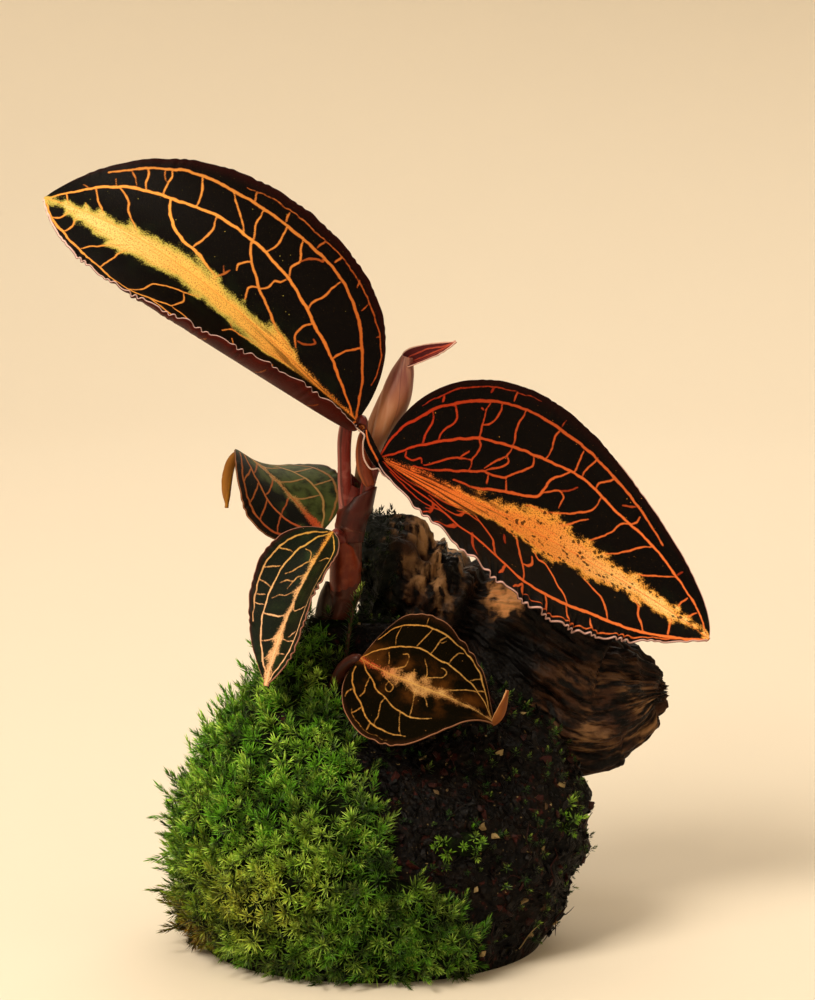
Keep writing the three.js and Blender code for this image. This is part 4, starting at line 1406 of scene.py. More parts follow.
@dataclass(frozen=True)
class Stem:
    """The rhizome in the clump with its roots, and the upright stem with its nodes and sheaths."""

    path: Path = (
        (7, 0.5, 31, 1.2), (1, 0, 33, 1.6), (-3, 0.8, 36, 1.8), (-4.2, 1.2, 40.5, 1.8),
        (-3.2, 1.1, 45, 1.8), (-1.5, 0.6, 48.5, 2.0), (-0.7, 0.1, 51.2, 2.15), (-0.6, 0, 53.6, 2.1),
        (-0.1, 0, 56, 1.7), (-0.1, 0, 58.8, 1.8), (0, 0, 60.4, 2.1), (0.3, 0, 61.2, 1.9),
        (0.7, 0, 63.2, 1.9), (1.0, 0, 65.0, 1.6),
    )
    node_heights: tuple[float, ...] = (50.9, 60.5)
    roots: tuple[Path, ...] = (
        ((-4, 1.2, 40, 0.9), (-6.5, 3.1, 31, 0.8), (-15, 5, 22, 0.55)),
        ((-2.6, 0.6, 36, 0.8), (-7.3, -4.7, 26, 0.7), (-8, -10, 16, 0.5)),
        ((1, 0, 33, 0.9), (4.5, -4.5, 22.5, 0.8), (4, -9, 12, 0.55)),
        ((4, 0, 32, 0.8), (12, 2.5, 24, 0.7), (16, 5, 16, 0.5)),
    )
    sheaths: tuple[tuple[Sheath, SkinFinish], ...] = (
        (
            Sheath(((-0.1, 0, 58.6, 2.0), (0, 0, 60.4, 2.2), (0.4, 0, 62.2, 2.2), (1.2, -0.2, 64.2, 2.2),
                    (2.5, -0.6, 67.2, 1.45)), 3.8, -math.pi / 2, flare=0.1),
            SkinFinish("3c1008", "64281a", "1c0705", 0.1),
        ),
        (
            Sheath(((0.3, 0.3, 62, 1.9), (0.2, 0.3, 65, 1.9), (0, 0.2, 67, 1.75), (-0.3, 0, 69.3, 1.25)),
                   3.2, math.pi / 2),
            SkinFinish("5e241e", "94605a", "2a0c0a"),
        ),
        (
            Sheath(((-1.0, 0.2, 50.0, 1.7), (-0.8, 0, 52.4, 2.2), (-0.7, -0.1, 54.5, 2.25),
                    (-0.6, -0.2, 56.5, 2.1), (-1.0, -0.6, 60.0, 1.5)), 3.5, 2.4),
            SkinFinish("6c260e", "9c4c28", "3c1406", 0.1),
        ),
        (
            Sheath(((-4.2, 1.2, 41, 1.6), (-3.8, 1.1, 45, 1.7), (-3.2, 0.6, 48.8, 1.7),
                    (-3.0, 0.4, 51.0, 1.3), (-3.1, 0.3, 52.6, 0.45)), 0.5, 1.6, flare=0.0),
            SkinFinish("34241a", "6a5644", "1a100a", 0.3),
        ),
    )
    skin: SkinFinish = SkinFinish("482014", "744638", "220d08", 0.1)
    root_skin: SkinFinish = SkinFinish("8a7458", "b09a78", "5a4632")

    def swelling(self, share: Array, angle: Array, middle: Array) -> Array:
        """Shapes fine ribs along the stem and a ring at each node.

        Args:
            share: shares of the path's length.
            angle: angles round it.
            middle: the rings' middles.

        Returns:
            What is added to the radius.
        """
        height = middle[..., 2]
        rings = sum(0.16 * bell((height - node) / 0.35) for node in self.node_heights)
        return 0.03 * np.sin(13 * angle + 20 * share) + rings * (height > 45)

    def build(self) -> list[Piece]:
        """Makes the stem, its roots and its sheaths.

        Returns:
            The pieces.
        """
        stem = Tube(self.path, 48, 14).build("stem_upright", self.skin.paint("stem_skin"), self.swelling)
        root_skin = self.root_skin.paint("root_skin")
        roots = [Tube(path, 14, 10).build(f"stem_root_{number}", root_skin)
                 for number, path in enumerate(self.roots, 1)]
        sheaths = [sheath.build(f"stem_sheath_{number}", finish.paint(f"stem_sheath_{number}_skin"))
                   for number, (sheath, finish) in enumerate(self.sheaths, 1)]
        return hand_over(Slot.STEM, "stem", stem, *roots, *sheaths)


# ---------- scattered small shapes


def leaflet(
    foot: Array, turn: float, climb: float, length: float, width: float, waist: float,
    keel: float = 0.0, droop: float = 0.15,
) -> list[Array]:
    """Shapes a narrow pointed leaflet of two faces.

    Args:
        foot: where it grows from.
        turn, climb: which way it points, round the shoot and upward.
        length, width: its sizes.
        waist: the share of its length at which it is widest.
        keel: how far its sides are sunk, as a share of half its width.
        droop: how far its tip hangs, as a share of its length.

    Returns:
        Its four points: foot, one side, tip and the other side.
    """
    ahead = np.array([math.cos(turn) * math.cos(climb), math.sin(turn) * math.cos(climb), math.sin(climb)])
    aside = np.array([-math.sin(turn), math.cos(turn), 0]) * width / 2
    middle = foot + ahead * length * waist
    above = np.cross(ahead, aside) * keel
    tip = foot + ahead * length + np.array([0, 0, -droop * length])
    return [foot, middle + aside - above, tip, middle - aside - above]


def leafy_piece(
    name: str, leaflets: list[list[Array]], marks: dict[str, Array], material: Material | None = None
) -> Piece:
    """One piece from many leaflets.

    Args:
        name: its name.
        leaflets: each one's four points.
        marks: values for all the points.
        material: what it is made of.

    Returns:
        The piece.
    """
    pairs = [[[k, k + 2, k + 1], [k, k + 3, k + 2]] for k in range(0, 4 * len(leaflets), 4)]
    return mesh_piece(name, np.array(leaflets).reshape(-1, 3), sum(pairs, []), marks, material)


@dataclass(frozen=True)
class ShootShape:
    """A moss shoot: a short axis with narrow pointed leaflets set round it in a spiral."""

    leaflets: int
    height: float
    length: float
    width: float
    low: float
    high: float
    seed: int

    def build(self, name: str) -> Piece:
        """Makes the shoot, with `tip` rising from 0 to 1 on each leaflet.

        Args:
            name: its name.

        Returns:
            The shape.
        """
        draw = np.random.default_rng(self.seed)
        leaflets, tips = [], []
        for k in range(self.leaflets):
            share = k / (self.leaflets - 1)
            turn = k * SPIRAL + draw.uniform(-0.3, 0.3)
            climb = math.radians(self.low + (self.high - self.low) * share + draw.uniform(-9, 9))
            length = self.length * draw.uniform(0.75, 1.1) * (1 - 0.3 * share)
            foot = np.array([0, 0, self.height * share])
            leaflets.append(leaflet(foot, turn, climb, length, self.width, 0.3, 0.5, 0.16))
            glow = draw.uniform(0.6, 1.0)
            tips += [0.3 * share, (0.3 + 0.4 * share) * glow, glow, (0.3 + 0.4 * share) * glow]
        return leafy_piece(name, leaflets, {"tip": np.array(tips)})


@dataclass(frozen=True)
class CrumbShape:
    """A rough crumb or sliver of peat: its size along each axis."""

    size: Triple
    seed: int

    def build(self, name: str) -> Piece:
        """Makes the crumb from a squashed, dented ball of twenty faces.

        Args:
            name: its name.

        Returns:
            The shape.
        """
        draw = np.random.default_rng(self.seed)
        ball = bmesh.new()
        bmesh.ops.create_icosphere(ball, subdivisions=1, radius=1.0)
        points = np.array([vertex.co[:] for vertex in ball.verts])
        faces = [[vertex.index for vertex in face.verts] for face in ball.faces]
        ball.free()
        points *= draw.uniform(0.4, 1.25, (len(points), 1)) * np.array(self.size) / 2
        return mesh_piece(name, points, faces, {"tip": np.ones(len(points))})


@dataclass(frozen=True)
class FibreShape:
    """A thin bent fibre or rootlet: its length, its thickness and how far it bends."""

    length: float
    thickness: float
    bend: float
    seed: int

    def build(self, name: str) -> Piece:
        """Makes the fibre as a three-sided tube that lies along X.

        Args:
            name: its name.

        Returns:
            The shape.
        """
        draw, half = np.random.default_rng(self.seed), self.thickness / 2
        path = []
        for x in np.linspace(-0.5, 0.5, 5):
            aside, above = self.bend * draw.uniform(-1, 1), 0.3 + self.bend * draw.uniform(-0.4, 0.6)
            path.append((x * self.length, aside, above, half))
        return Tube(tuple(path), sides=3, steps=2).build(name)


SmallShape = ShootShape | CrumbShape | FibreShape


@dataclass(frozen=True)
class Scatter:
    """A Geometry Nodes tree that sets small shapes on a surface.

    `spacing` is the least distance between them in millimetres, `density` how many there are to a
    square centimetre at most, `guide` the surface's mark that thins them out, `size` the least and
    most scale, `rise` and `sway` how far they lean upward and at random, and `round_off` whether
    they are shaded smooth.
    """

    name: str
    spacing: float
    density: float
    guide: str
    size: tuple[float, float]
    rise: float = 0.0
    sway: float = 0.5
    seed: int = 3
    round_off: bool = True

    def inputs(self) -> dict[str, float]:
        """Names the tree's inputs.

        Returns:
            Their values, in metres.
        """
        return {
            "Spacing": self.spacing * MM, "Density": self.density * 1e4, "Smallest": self.size[0],
            "Largest": self.size[1], "Rise": self.rise, "Sway": self.sway, "Seed": self.seed,
        }

    def tree(self, shapes: list[Piece], material: Material) -> bpy.types.NodeTree:
        """Writes the tree.

        Args:
            shapes: the shapes to choose among.
            material: what they are made of.

        Returns:
            The tree, which ends in plain mesh with its material.
        """
        tree = bpy.data.node_groups.new(f"{self.name}_scatter", "GeometryNodeTree")
        sockets = dict.fromkeys(self.inputs(), "Float") | {"Seed": "Int"}
        for label, kind in {"Geometry": "Geometry", **sockets}.items():
            tree.interface.new_socket(label, in_out="INPUT", socket_type=f"NodeSocket{kind}")
        tree.interface.new_socket("Geometry", in_out="OUTPUT", socket_type="NodeSocketGeometry")
        w = Wiring(tree)
        outputs = tree.nodes.new("NodeGroupInput").outputs
        given = {label: Signal(w, outputs[label]) for label in ("Geometry", *sockets)}
        seed = given["Seed"]

        def draw(kind: str, low: object, high: object, number: object) -> Signal:
            """A random value of this kind for each shape, from low to high, with a seed number."""
            between = {"Min": low, "Max": high, "Seed": number}
            return w.out("FunctionNodeRandomValue", between, data_type=kind)

        def directions(operation: str, first: Signal, second: Signal) -> Signal:
            """A sum of two directions, or of a direction and its scale."""
            other = "Scale" if operation == "SCALE" else 1
            return w.out("ShaderNodeVectorMath", {0: first, other: second}, operation=operation)

        places = w.out(
            "GeometryNodeDistributePointsOnFaces",
            {
                "Mesh": given["Geometry"], "Distance Min": given["Spacing"], "Seed": seed,
                "Density Max": given["Density"], "Density Factor": w.out(
                    "GeometryNodeInputNamedAttribute", {"Name": self.guide}, data_type="FLOAT"),
            },
            distribute_method="POISSON",
        )
        normal = Signal(w, places.socket.node.outputs["Normal"])
        lean = directions("ADD", normal, w.out("ShaderNodeCombineXYZ", {"Z": given["Rise"]}))
        stray = draw("FLOAT_VECTOR", (-1, -1, -1), (1, 1, 1), seed)
        lean = directions("ADD", lean, directions("SCALE", stray, given["Sway"]))
        stand = w.out("FunctionNodeAlignRotationToVector", {"Vector": lean}, axis="Z")
        spin = {"Rotation": stand, "Rotate By": draw("FLOAT_VECTOR", (0, 0, 0), (0, 0, TURN), 7)}
        turned = w.out("FunctionNodeRotateRotation", spin, rotation_space="LOCAL")
        join = tree.nodes.new("GeometryNodeJoinGeometry")
        for shape in reversed(shapes):
            info = w.out("GeometryNodeObjectInfo", {"Object": shape, "As Instance": True}, "Geometry")
            tree.links.new(info.socket, join.inputs[0])
        grown = w.out("GeometryNodeInstanceOnPoints", {
            "Points": places, "Instance": Signal(w, join.outputs[0]), "Pick Instance": True,
            "Instance Index": draw("INT", 0, len(shapes) - 1, 17), "Rotation": turned,
            "Scale": draw("FLOAT", given["Smallest"], given["Largest"], 13),
        })
        shade = {"Geometry": grown, "Name": "shade", "Value": draw("FLOAT", 0.0, 1.0, 23)}
        marked = w.out("GeometryNodeStoreNamedAttribute", shade, data_type="FLOAT", domain="INSTANCE")
        real = w.out("GeometryNodeRealizeInstances", {"Geometry": marked})
        dressed = w.out("GeometryNodeSetMaterial", {"Geometry": real, "Material": material})
        w.feed(tree.nodes.new("NodeGroupOutput").inputs[0], dressed)
        return tree

    def grow(self, ground: Piece, kinds: list[SmallShape], material: Material) -> Piece:
        """Sets the shapes on the ground as one plain mesh.

        Args:
            ground: the piece whose surface carries them.
            kinds: the small shapes to choose among.
            material: what they are made of.

        Returns:
            The new piece.
        """
        shapes = [kind.build(f"{self.name}_{number}") for number, kind in enumerate(kinds)]
        tree = self.tree(shapes, material)
        carrier = placed(self.name, ground.data)
        modifier = carrier.modifiers.new("scatter", "NODES")
        modifier.node_group = tree
        values = self.inputs()
        for item in tree.interface.items_tree:
            if item.in_out == "INPUT" and item.name in values:
                modifier[item.identifier] = values[item.name]
        view = bpy.context.evaluated_depsgraph_get()
        mesh = bpy.data.meshes.new_from_object(
            carrier.evaluated_get(view), preserve_all_data_layers=True, depsgraph=view
        )
        carrier.modifiers.clear()
        carrier.data = mesh
        places = read_places(mesh)
        places[:, 1] = np.maximum(places[:, 1], FRONT_LIMIT * MM)
        places[:, 2] = np.maximum(places[:, 2], FLOOR_LIMIT * MM)
        mesh.vertices.foreach_set("co", places.ravel())
        mesh.name = self.name
        mesh.polygons.foreach_set("use_smooth", [self.round_off] * len(mesh.polygons))
        for shape in shapes:
            bpy.data.objects.remove(shape)
        return carrier


def read_places(mesh: bpy.types.Mesh) -> Array:
    """The mesh's points in metres, one row each."""
    mesh.vertices.foreach_get("co", places := np.empty(len(mesh.vertices) * 3, np.float32))
    return places.reshape(-1, 3)


# ---------- clump, bark and moss


@dataclass(frozen=True)
class ClumpShape:
    """The clump's form: how far it reaches from its axis, and where moss covers it."""

    axis: tuple[float, float] = (3, -1)
    height: float = 47
    profile: tuple[tuple[float, float, float, float, float], ...] = (
        (0, 25, 25, 22, 21), (6, 26, 28, 23, 22), (14, 27, 31, 22, 23), (22, 25, 31, 19, 23),
        (30, 21, 27, 12, 21), (37, 15, 19, 5.6, 17), (42, 12, 12, 3.4, 12), (45.5, 8.5, 6, 2.6, 7),
    )
    border: Course = (
        (0, 18.5), (8, 17.5), (11, 14), (16, 6.5), (23, 4.3), (30, 1.5), (36, -2), (47, -3.5),
    )

    def reach(self, height: Array, angle: Array) -> Array:
        """Measures the smooth clump.

        Args:
            height: heights over the floor.
            angle: angles round the axis.

        Returns:
            How far its surface is from the axis there.
        """
        heights, *sides = np.array(self.profile).T
        left, right, front, back = (np.interp(height, heights, side) for side in sides)
        sideways = np.where(np.cos(angle) < 0, left, right)
        lengthways = np.where(np.sin(angle) < 0, front, back)
        return 1 / np.hypot(np.cos(angle) / sideways, np.sin(angle) / lengthways)

    def cover(self, x: Array, y: Array, height: Array) -> Array:
        """1 where moss covers the clump, 0 where it is bare."""
        front = np.interp(height, *np.array(self.border).T)
        return smooth(-1.6, 2.2, np.where(y < 4, front, -5 - 0.3 * (y - 4)) - x)

    def ring_points(self, height: Array, angle: Array, reach: Array) -> Array:
        """Points at these heights, angles and distances from the axis."""
        return grid(self.axis[0] + reach * np.cos(angle), self.axis[1] + reach * np.sin(angle), height)


@dataclass(frozen=True)
class EarthFinish:
    """Damp peat and fibre: its two browns, its reddish crumbs and its rare pale grains."""

    dark: str = "030202"
    brown: str = "0e0805"
    red: str = "2e0f0a"
    pale: str = "9a8458"

    def paint(self, name: str) -> Material:
        """Writes the material of the clump's own surface.

        Args:
            name: its name.

        Returns:
            The material.
        """
        p = Paint(name)
        colour = p.coat(
            self.dark,
            (p.grain(2.6, 4).step(0.42, 0.68), self.brown),
            (p.grain(1.1, 3).step(0.58, 0.72), self.red),
            (p.grain(0.7, 2).step(0.7, 0.76) * 0.5, self.pale),
        )
        height = p.grain(1.5, 5) + p.cells(0.8) * 0.5
        return p.dress(colour, p.grain(3.0) * 0.6 + 0.25, height, 0.7, Specular_IOR_Level=0.08)

    def crumbs(self, name: str) -> Material:
        """Writes the material of the loose crumbs and fibres, which differ by their `shade`.

        Args:
            name: its name.

        Returns:
            The material.
        """
        p = Paint(name)
        shade = p.mark("shade")
        colour = p.coat(
            self.dark,
            (shade.step(0.3, 0.75), self.brown),
            (shade.step(0.72, 0.86), self.red),
            (shade.step(0.96, 0.98), self.pale),
            (p.grain(0.6) * 0.4, self.dark),
        )
        return p.dress(colour, 0.45, p.grain(0.35, 4), 0.2, Specular_IOR_Level=0.12)


@dataclass(frozen=True)
class MossFinish:
    """Moss: dark leaflet feet, green and lime tips, and the yellow and rust of dying shoots."""

    foot: str = "101c05"
    green: str = "6cb026"
    lime: str = "b8ec50"
    glint: str = "dcf874"
    yellow: str = "d8dc50"
    rust: str = "c06c20"
    floor: str = "070a03"

    def paint(self, name: str) -> Material:
        """Writes the shoots' material, which reads their marks.

        Args:
            name: its name.

        Returns:
            The material.
        """
        p = Paint(name)
        shade, tip = p.mark("shade"), p.mark("tip")
        young = p.coat(
            self.green,
            (shade.step(0.35, 1.0), self.lime),
            (p.mark("yellow"), self.yellow),
            (p.mark("rust"), self.rust),
            (p.grain(5.0, 2).step(0.5, 0.8), self.green),
        )
        colour = p.coat(
            self.foot,
            (tip.step(0.1, 0.75), young),
            (tip.step(0.5, 0.8) * shade.step(0.35, 0.75) * 0.8, self.glint),
            # painted shade: dark clusters among the shoots, in the feet's dark colour
            (p.grain(3.4, 3).step(0.52, 0.36) * 0.72, self.foot),
            # painted shade: the bed's mark darkens the shoots in hollows, under the leaf above, on the right
            # and low down
            (p.mark("painted_shade") * 0.8, self.foot),
        )
        return p.dress(
            colour, 0.45, Specular_IOR_Level=0.18, Subsurface_Weight=0.15, Subsurface_Scale=0.6 * MM
        )

    def bed(self, name: str) -> Material:
        """Writes the material of the dark bed between the shoots.

        Args:
            name: its name.

        Returns:
            The material.
        """
        p = Paint(name)
        colour = p.coat(self.floor, (p.grain(1.2, 4).step(0.4, 0.7), self.foot))
        return p.dress(colour, 0.8, p.grain(0.8, 5), 0.6, Specular_IOR_Level=0.05)


@dataclass(frozen=True)
class SubstrateClump:
    """The dark clump of peat and fibre, with crumbs, slivers, rootlets and small tufts on it."""

    shape: ClumpShape = ClumpShape()
    finish: EarthFinish = EarthFinish()
    tuft_finish: MossFinish = MossFinish("040602", "284a14", "587c24", "90a848")
    crumbs: tuple[CrumbShape, ...] = (
        CrumbShape((1.9, 1.4, 1.0), 1), CrumbShape((1.3, 1.1, 1.0), 2), CrumbShape((2.6, 1.0, 0.7), 3),
        CrumbShape((1.7, 1.6, 0.7), 4),
    )
    fibres: tuple[FibreShape, ...] = (
        FibreShape(6.5, 0.22, 0.9, 1), FibreShape(4.5, 0.18, 0.7, 2), FibreShape(8.0, 0.28, 1.1, 3),
    )
    tufts: tuple[ShootShape, ...] = tuple(ShootShape(16, 1.2, 1.3, 0.22, 15, 80, seed) for seed in (5, 6))

    def ground(self) -> Piece:
        """Makes the clump's own rough body, flat underneath.

        Returns:
            The piece.
        """
        height = np.concatenate([[0, 0.4], np.linspace(1.2, 46.4, 96), [47]])[:, None]
        angle = circle(300)
        reach = self.shape.reach(height, angle) * np.where(height > 46.5, 0.35, 1)
        x, y = reach * np.cos(angle), reach * np.sin(angle)
        body = self.shape.ring_points(height, angle, reach)
        fade = smooth(0, 5, height) * smooth(47, 38, height)
        broad = lumps(x, y, height, 19) * 1.2 + lumps(x, y, height, 8) * 0.5
        crumb = 0.75 * rough(body, 4.5, 5) + 0.35 * rough(body, 1.6, 3, seed=4)
        reach = reach + broad * fade + crumb * smooth(0, 2.5, height) * smooth(47.2, 44, height) - 0.35
        body = self.shape.ring_points(height, angle, reach)
        bare = (1 - self.shape.cover(body[..., 0] - 1.5, body[..., 1], height)) * smooth(0.6, 3, height)
        return closed_body("substrate_body", body, {"bare": bare}, self.finish.paint("substrate_peat"))

    def build(self) -> list[Piece]:
        """Makes the clump and what lies loose on it.

        Returns:
            The pieces.
        """
        body = self.ground()
        loose = self.finish.crumbs("substrate_loose")
        leafy = self.tuft_finish.paint("substrate_moss_leaflets")
        crumbs = Scatter("substrate_crumbs", 0.9, 80, "bare", (0.35, 1.2), 0, 0.9, 5, round_off=False)
        fibres = Scatter("substrate_fibres", 2.4, 13, "bare", (0.5, 1.0), 0, 0.25, 6)
        moss = Scatter("substrate_moss", 1.0, 14, "bare", (0.4, 1.0), 0.5, 0.6, 8)
        sown = ((crumbs, self.crumbs, loose), (fibres, self.fibres, loose), (moss, self.tufts, leafy))
        pieces = [scatter.grow(body, kinds, material) for scatter, kinds, material in sown]
        return hand_over(Slot.SUBSTRATE, "substrate_clump", body, *pieces)


@dataclass(frozen=True)
class BarkFinish:
    """Wet bark: its dark and lit browns, its dry tan fibres, a pale tan spot that is a painted highlight, the
    painted shade of the hollow under that spot and of a gap beside it, and the moss stain on its left."""

    dark: str = "050302"
    brown: str = "3c2416"
    tan: str = "b88a5c"
    # the colour of the painted highlight spot
    torn: str = "f0a868"
    moss: str = "070b03"
    # the middles of the painted highlight, then of the painted shade in a gap and in the hollow
    spot: Triple = (22.2, 8.2, 49.5)
    gap: Triple = (18.0, 7.0, 47.5)
    hollow: Triple = (22.5, 6.0, 39.0)

    def near(self, p: Paint, place: Triple, inner: float, outer: float) -> Signal:
        """Finds the ragged surroundings of a place.

        Args:
            p: the material.
            place: their middle.
            inner, outer: how far out they are full, and where they end.

        Returns:
            Their share, from 0 to 1.
        """
        ends = {0: p.place, 1: tuple(c * MM for c in place)}
        gap = p.out("ShaderNodeVectorMath", ends, "Value", operation="DISTANCE")
        return (gap + (p.grain(2.2) - 0.5) * (8 * MM)).step(outer * MM, inner * MM)

    def paint(self, name: str) -> Material:
        """Writes the material, with grain along the chunk and dry fibres on its upright end.

        Args:
            name: its name.

        Returns:
            The material.
        """
        p = Paint(name)
        along = p.mark("along")
        flat = p.flat(along, p.mark("around") * 60.0)
        height = p.out("ShaderNodeSeparateXYZ", {"Vector": p.place}, "Z")
        lying = p.grain(2.2, 5, (0.36, 1.0, 1.0), flat) * 0.5 + p.grain(0.7, 4, (0.3, 1.0, 1.0), flat) * 0.5
        end = along.step(20.0, 15.0)
        ends = {"Factor": end, "A": lying, "B": p.grain(2.0, 5, (1.0, 1.0, 0.2))}
        fibre = p.out("ShaderNodeMix", ends, data_type="FLOAT")
        lit = height.step(47 * MM, 55 * MM) * 0.8 + 0.2
        low = along.step(34.0, 42.0) * height.step(39 * MM, 32 * MM)
        dry = fibre.step(0.47, 0.6) * p.grain(6.0, 2).step(0.36, 0.6)
        spot = self.near(p, self.spot, 2.2, 4.4) * lying.step(0.2, 0.5)
        colour = p.coat(
            self.dark,
            (fibre.step(0.42, 0.6), self.brown),
            (dry * (end * lit + (low * 0.42 + 0.1)), self.tan),
            # painted shadow: the lying half is darkened high up, under the leaf above
            ((1.0 - end) * height.step(37 * MM, 42 * MM) * 0.7, self.dark),
            # painted highlight: a pale tan spot on the raised grain
            (spot * 0.95, self.torn),
            # painted shade in the hollow and in the gap beside the spot
            (self.near(p, self.hollow, 3.5, 7.5), self.dark),
            (self.near(p, self.gap, 1.4, 4.0), self.dark),
            (p.mark("left") * p.grain(2.0).step(0.15, 0.4), self.moss),
        )
        raised = fibre + p.grain(0.6, 4) * 0.35
        return p.dress(colour, p.grain(2.5) * 0.5 + 0.25, raised, 0.9, Specular_IOR_Level=0.12)


@dataclass(frozen=True)
class BarkChunk:
    """The chunk of wet bark: an upright end, a deep groove, then a long lying half, broken off."""

    path: Path = (
        (-1.4, 12.8, 50.0, 3.4), (1.4, 13.5, 51.6, 6.8), (4.6, 13.8, 51.4, 8.9), (9, 14, 48.2, 8.6),
        (14, 14.2, 45.6, 8.9), (21, 14.5, 42.2, 9.8), (29, 14.5, 36.5, 10.6), (35, 14, 32.6, 11.0),
        (40, 13.5, 32.8, 8.9), (43.2, 13.2, 33.2, 7.0), (44.7, 13, 33.5, 4.4), (45.3, 13, 33.5, 1.8),
        (45.4, 13, 33.5, 0.5),
    )
    groove: Triple = (0.37, 0.03, 3.4)
    hollow: Triple = (22.6, 3.34, 3.6)
    finish: BarkFinish = BarkFinish()
    tuft_finish: MossFinish = MossFinish("040602", "12200a", "2c3c14", "4a5424")
    tufts: tuple[ShootShape, ...] = tuple(ShootShape(18, 1.5, 1.3, 0.22, 20, 80, seed) for seed in (5, 6))

    def relief(self, share: Array, angle: Array, middle: Array) -> Array:
        """Shapes the groove and the hollow in front, the ridges along each half, and torn grain.

        Args:
            share: shares of the path's length.
            angle: angles round it.
            middle: the rings' middles.

        Returns:
            What is added to the radius.
        """
        x = middle[..., 0]
        at, width, depth = self.groove
        cut = -depth * bell((share - at) / width) * (smooth(1.6, 2.3, angle) * smooth(5.2, 4.4, angle))
        place, turn, sunk = self.hollow
        cut = cut - sunk * bell((x - place) / 2.6, (angle - turn) / 0.3)
        lying = smooth(15, 22, x)
        ridges = 0.6 * np.sin(9 * angle + 0.13 * x) * lying
        upright = 0.5 * np.sin(1.9 * x + 2 * angle) * (1 - lying)
        broad = 1.1 * lumps(x, 9 * angle, 0.1 * x, 17)
        wave = [grid(x * along, np.cos(angle) * turns, np.sin(angle) * turns)
                for along, turns in ((0.2, 4), (0.26, 16), (1.5, 3))]
        torn = 1.1 * rough(wave[0], 1.1, 5) + 0.5 * rough(wave[1], 1.0, 4, seed=2) * lying
        split = 0.5 * rough(wave[2], 1.0, 4, seed=3) * (1 - lying)
        whole = smooth(0, 0.05, share) * smooth(1, 0.93, share)
        return (cut + ridges + upright + broad + torn + split - 0.5) * whole

    def slide(self, share: Array, angle: Array) -> Array:
        """Tears the broken right end back in splinters that run along the grain.

        Args:
            share: shares of the path's length.
            angle: angles round it.

        Returns:
            How far each point moves back.
        """
        rest = (1 - share) * 60
        coarse = grid(share * 5, np.cos(angle) * rest, np.sin(angle) * rest)
        fine = grid(0 * share, np.cos(angle) * 7, np.sin(angle) * 7)
        torn = 1.6 * rough(coarse, 2.2, 3, seed=7) + 1.4 * rough(fine, 1.0, 3, seed=9)
        return np.maximum(torn, -0.4) * smooth(0.78, 0.93, share)

    def build(self) -> list[Piece]:
        """Makes the chunk and the moss on its left end.

        Returns:
            The pieces.
        """
        bark = self.finish.paint("bark_wet")
        chunk = Tube(self.path, sides=210, steps=18).build("bark_body", bark, self.relief, self.slide)
        left = smooth(7.4, 5.2, read_places(chunk.data)[:, 0] / MM)
        layer = chunk.data.attributes.new("left", "FLOAT", "POINT")
        layer.data.foreach_set("value", left.astype(np.float32))
        leafy = self.tuft_finish.paint("bark_moss_leaflets")
        moss = Scatter("bark_moss", 1.2, 60, "left", (0.6, 1.2), 0.5, 0.7, 4).grow(chunk, self.tufts, leafy)
        return hand_over(Slot.BARK, "bark_chunk", chunk, moss)


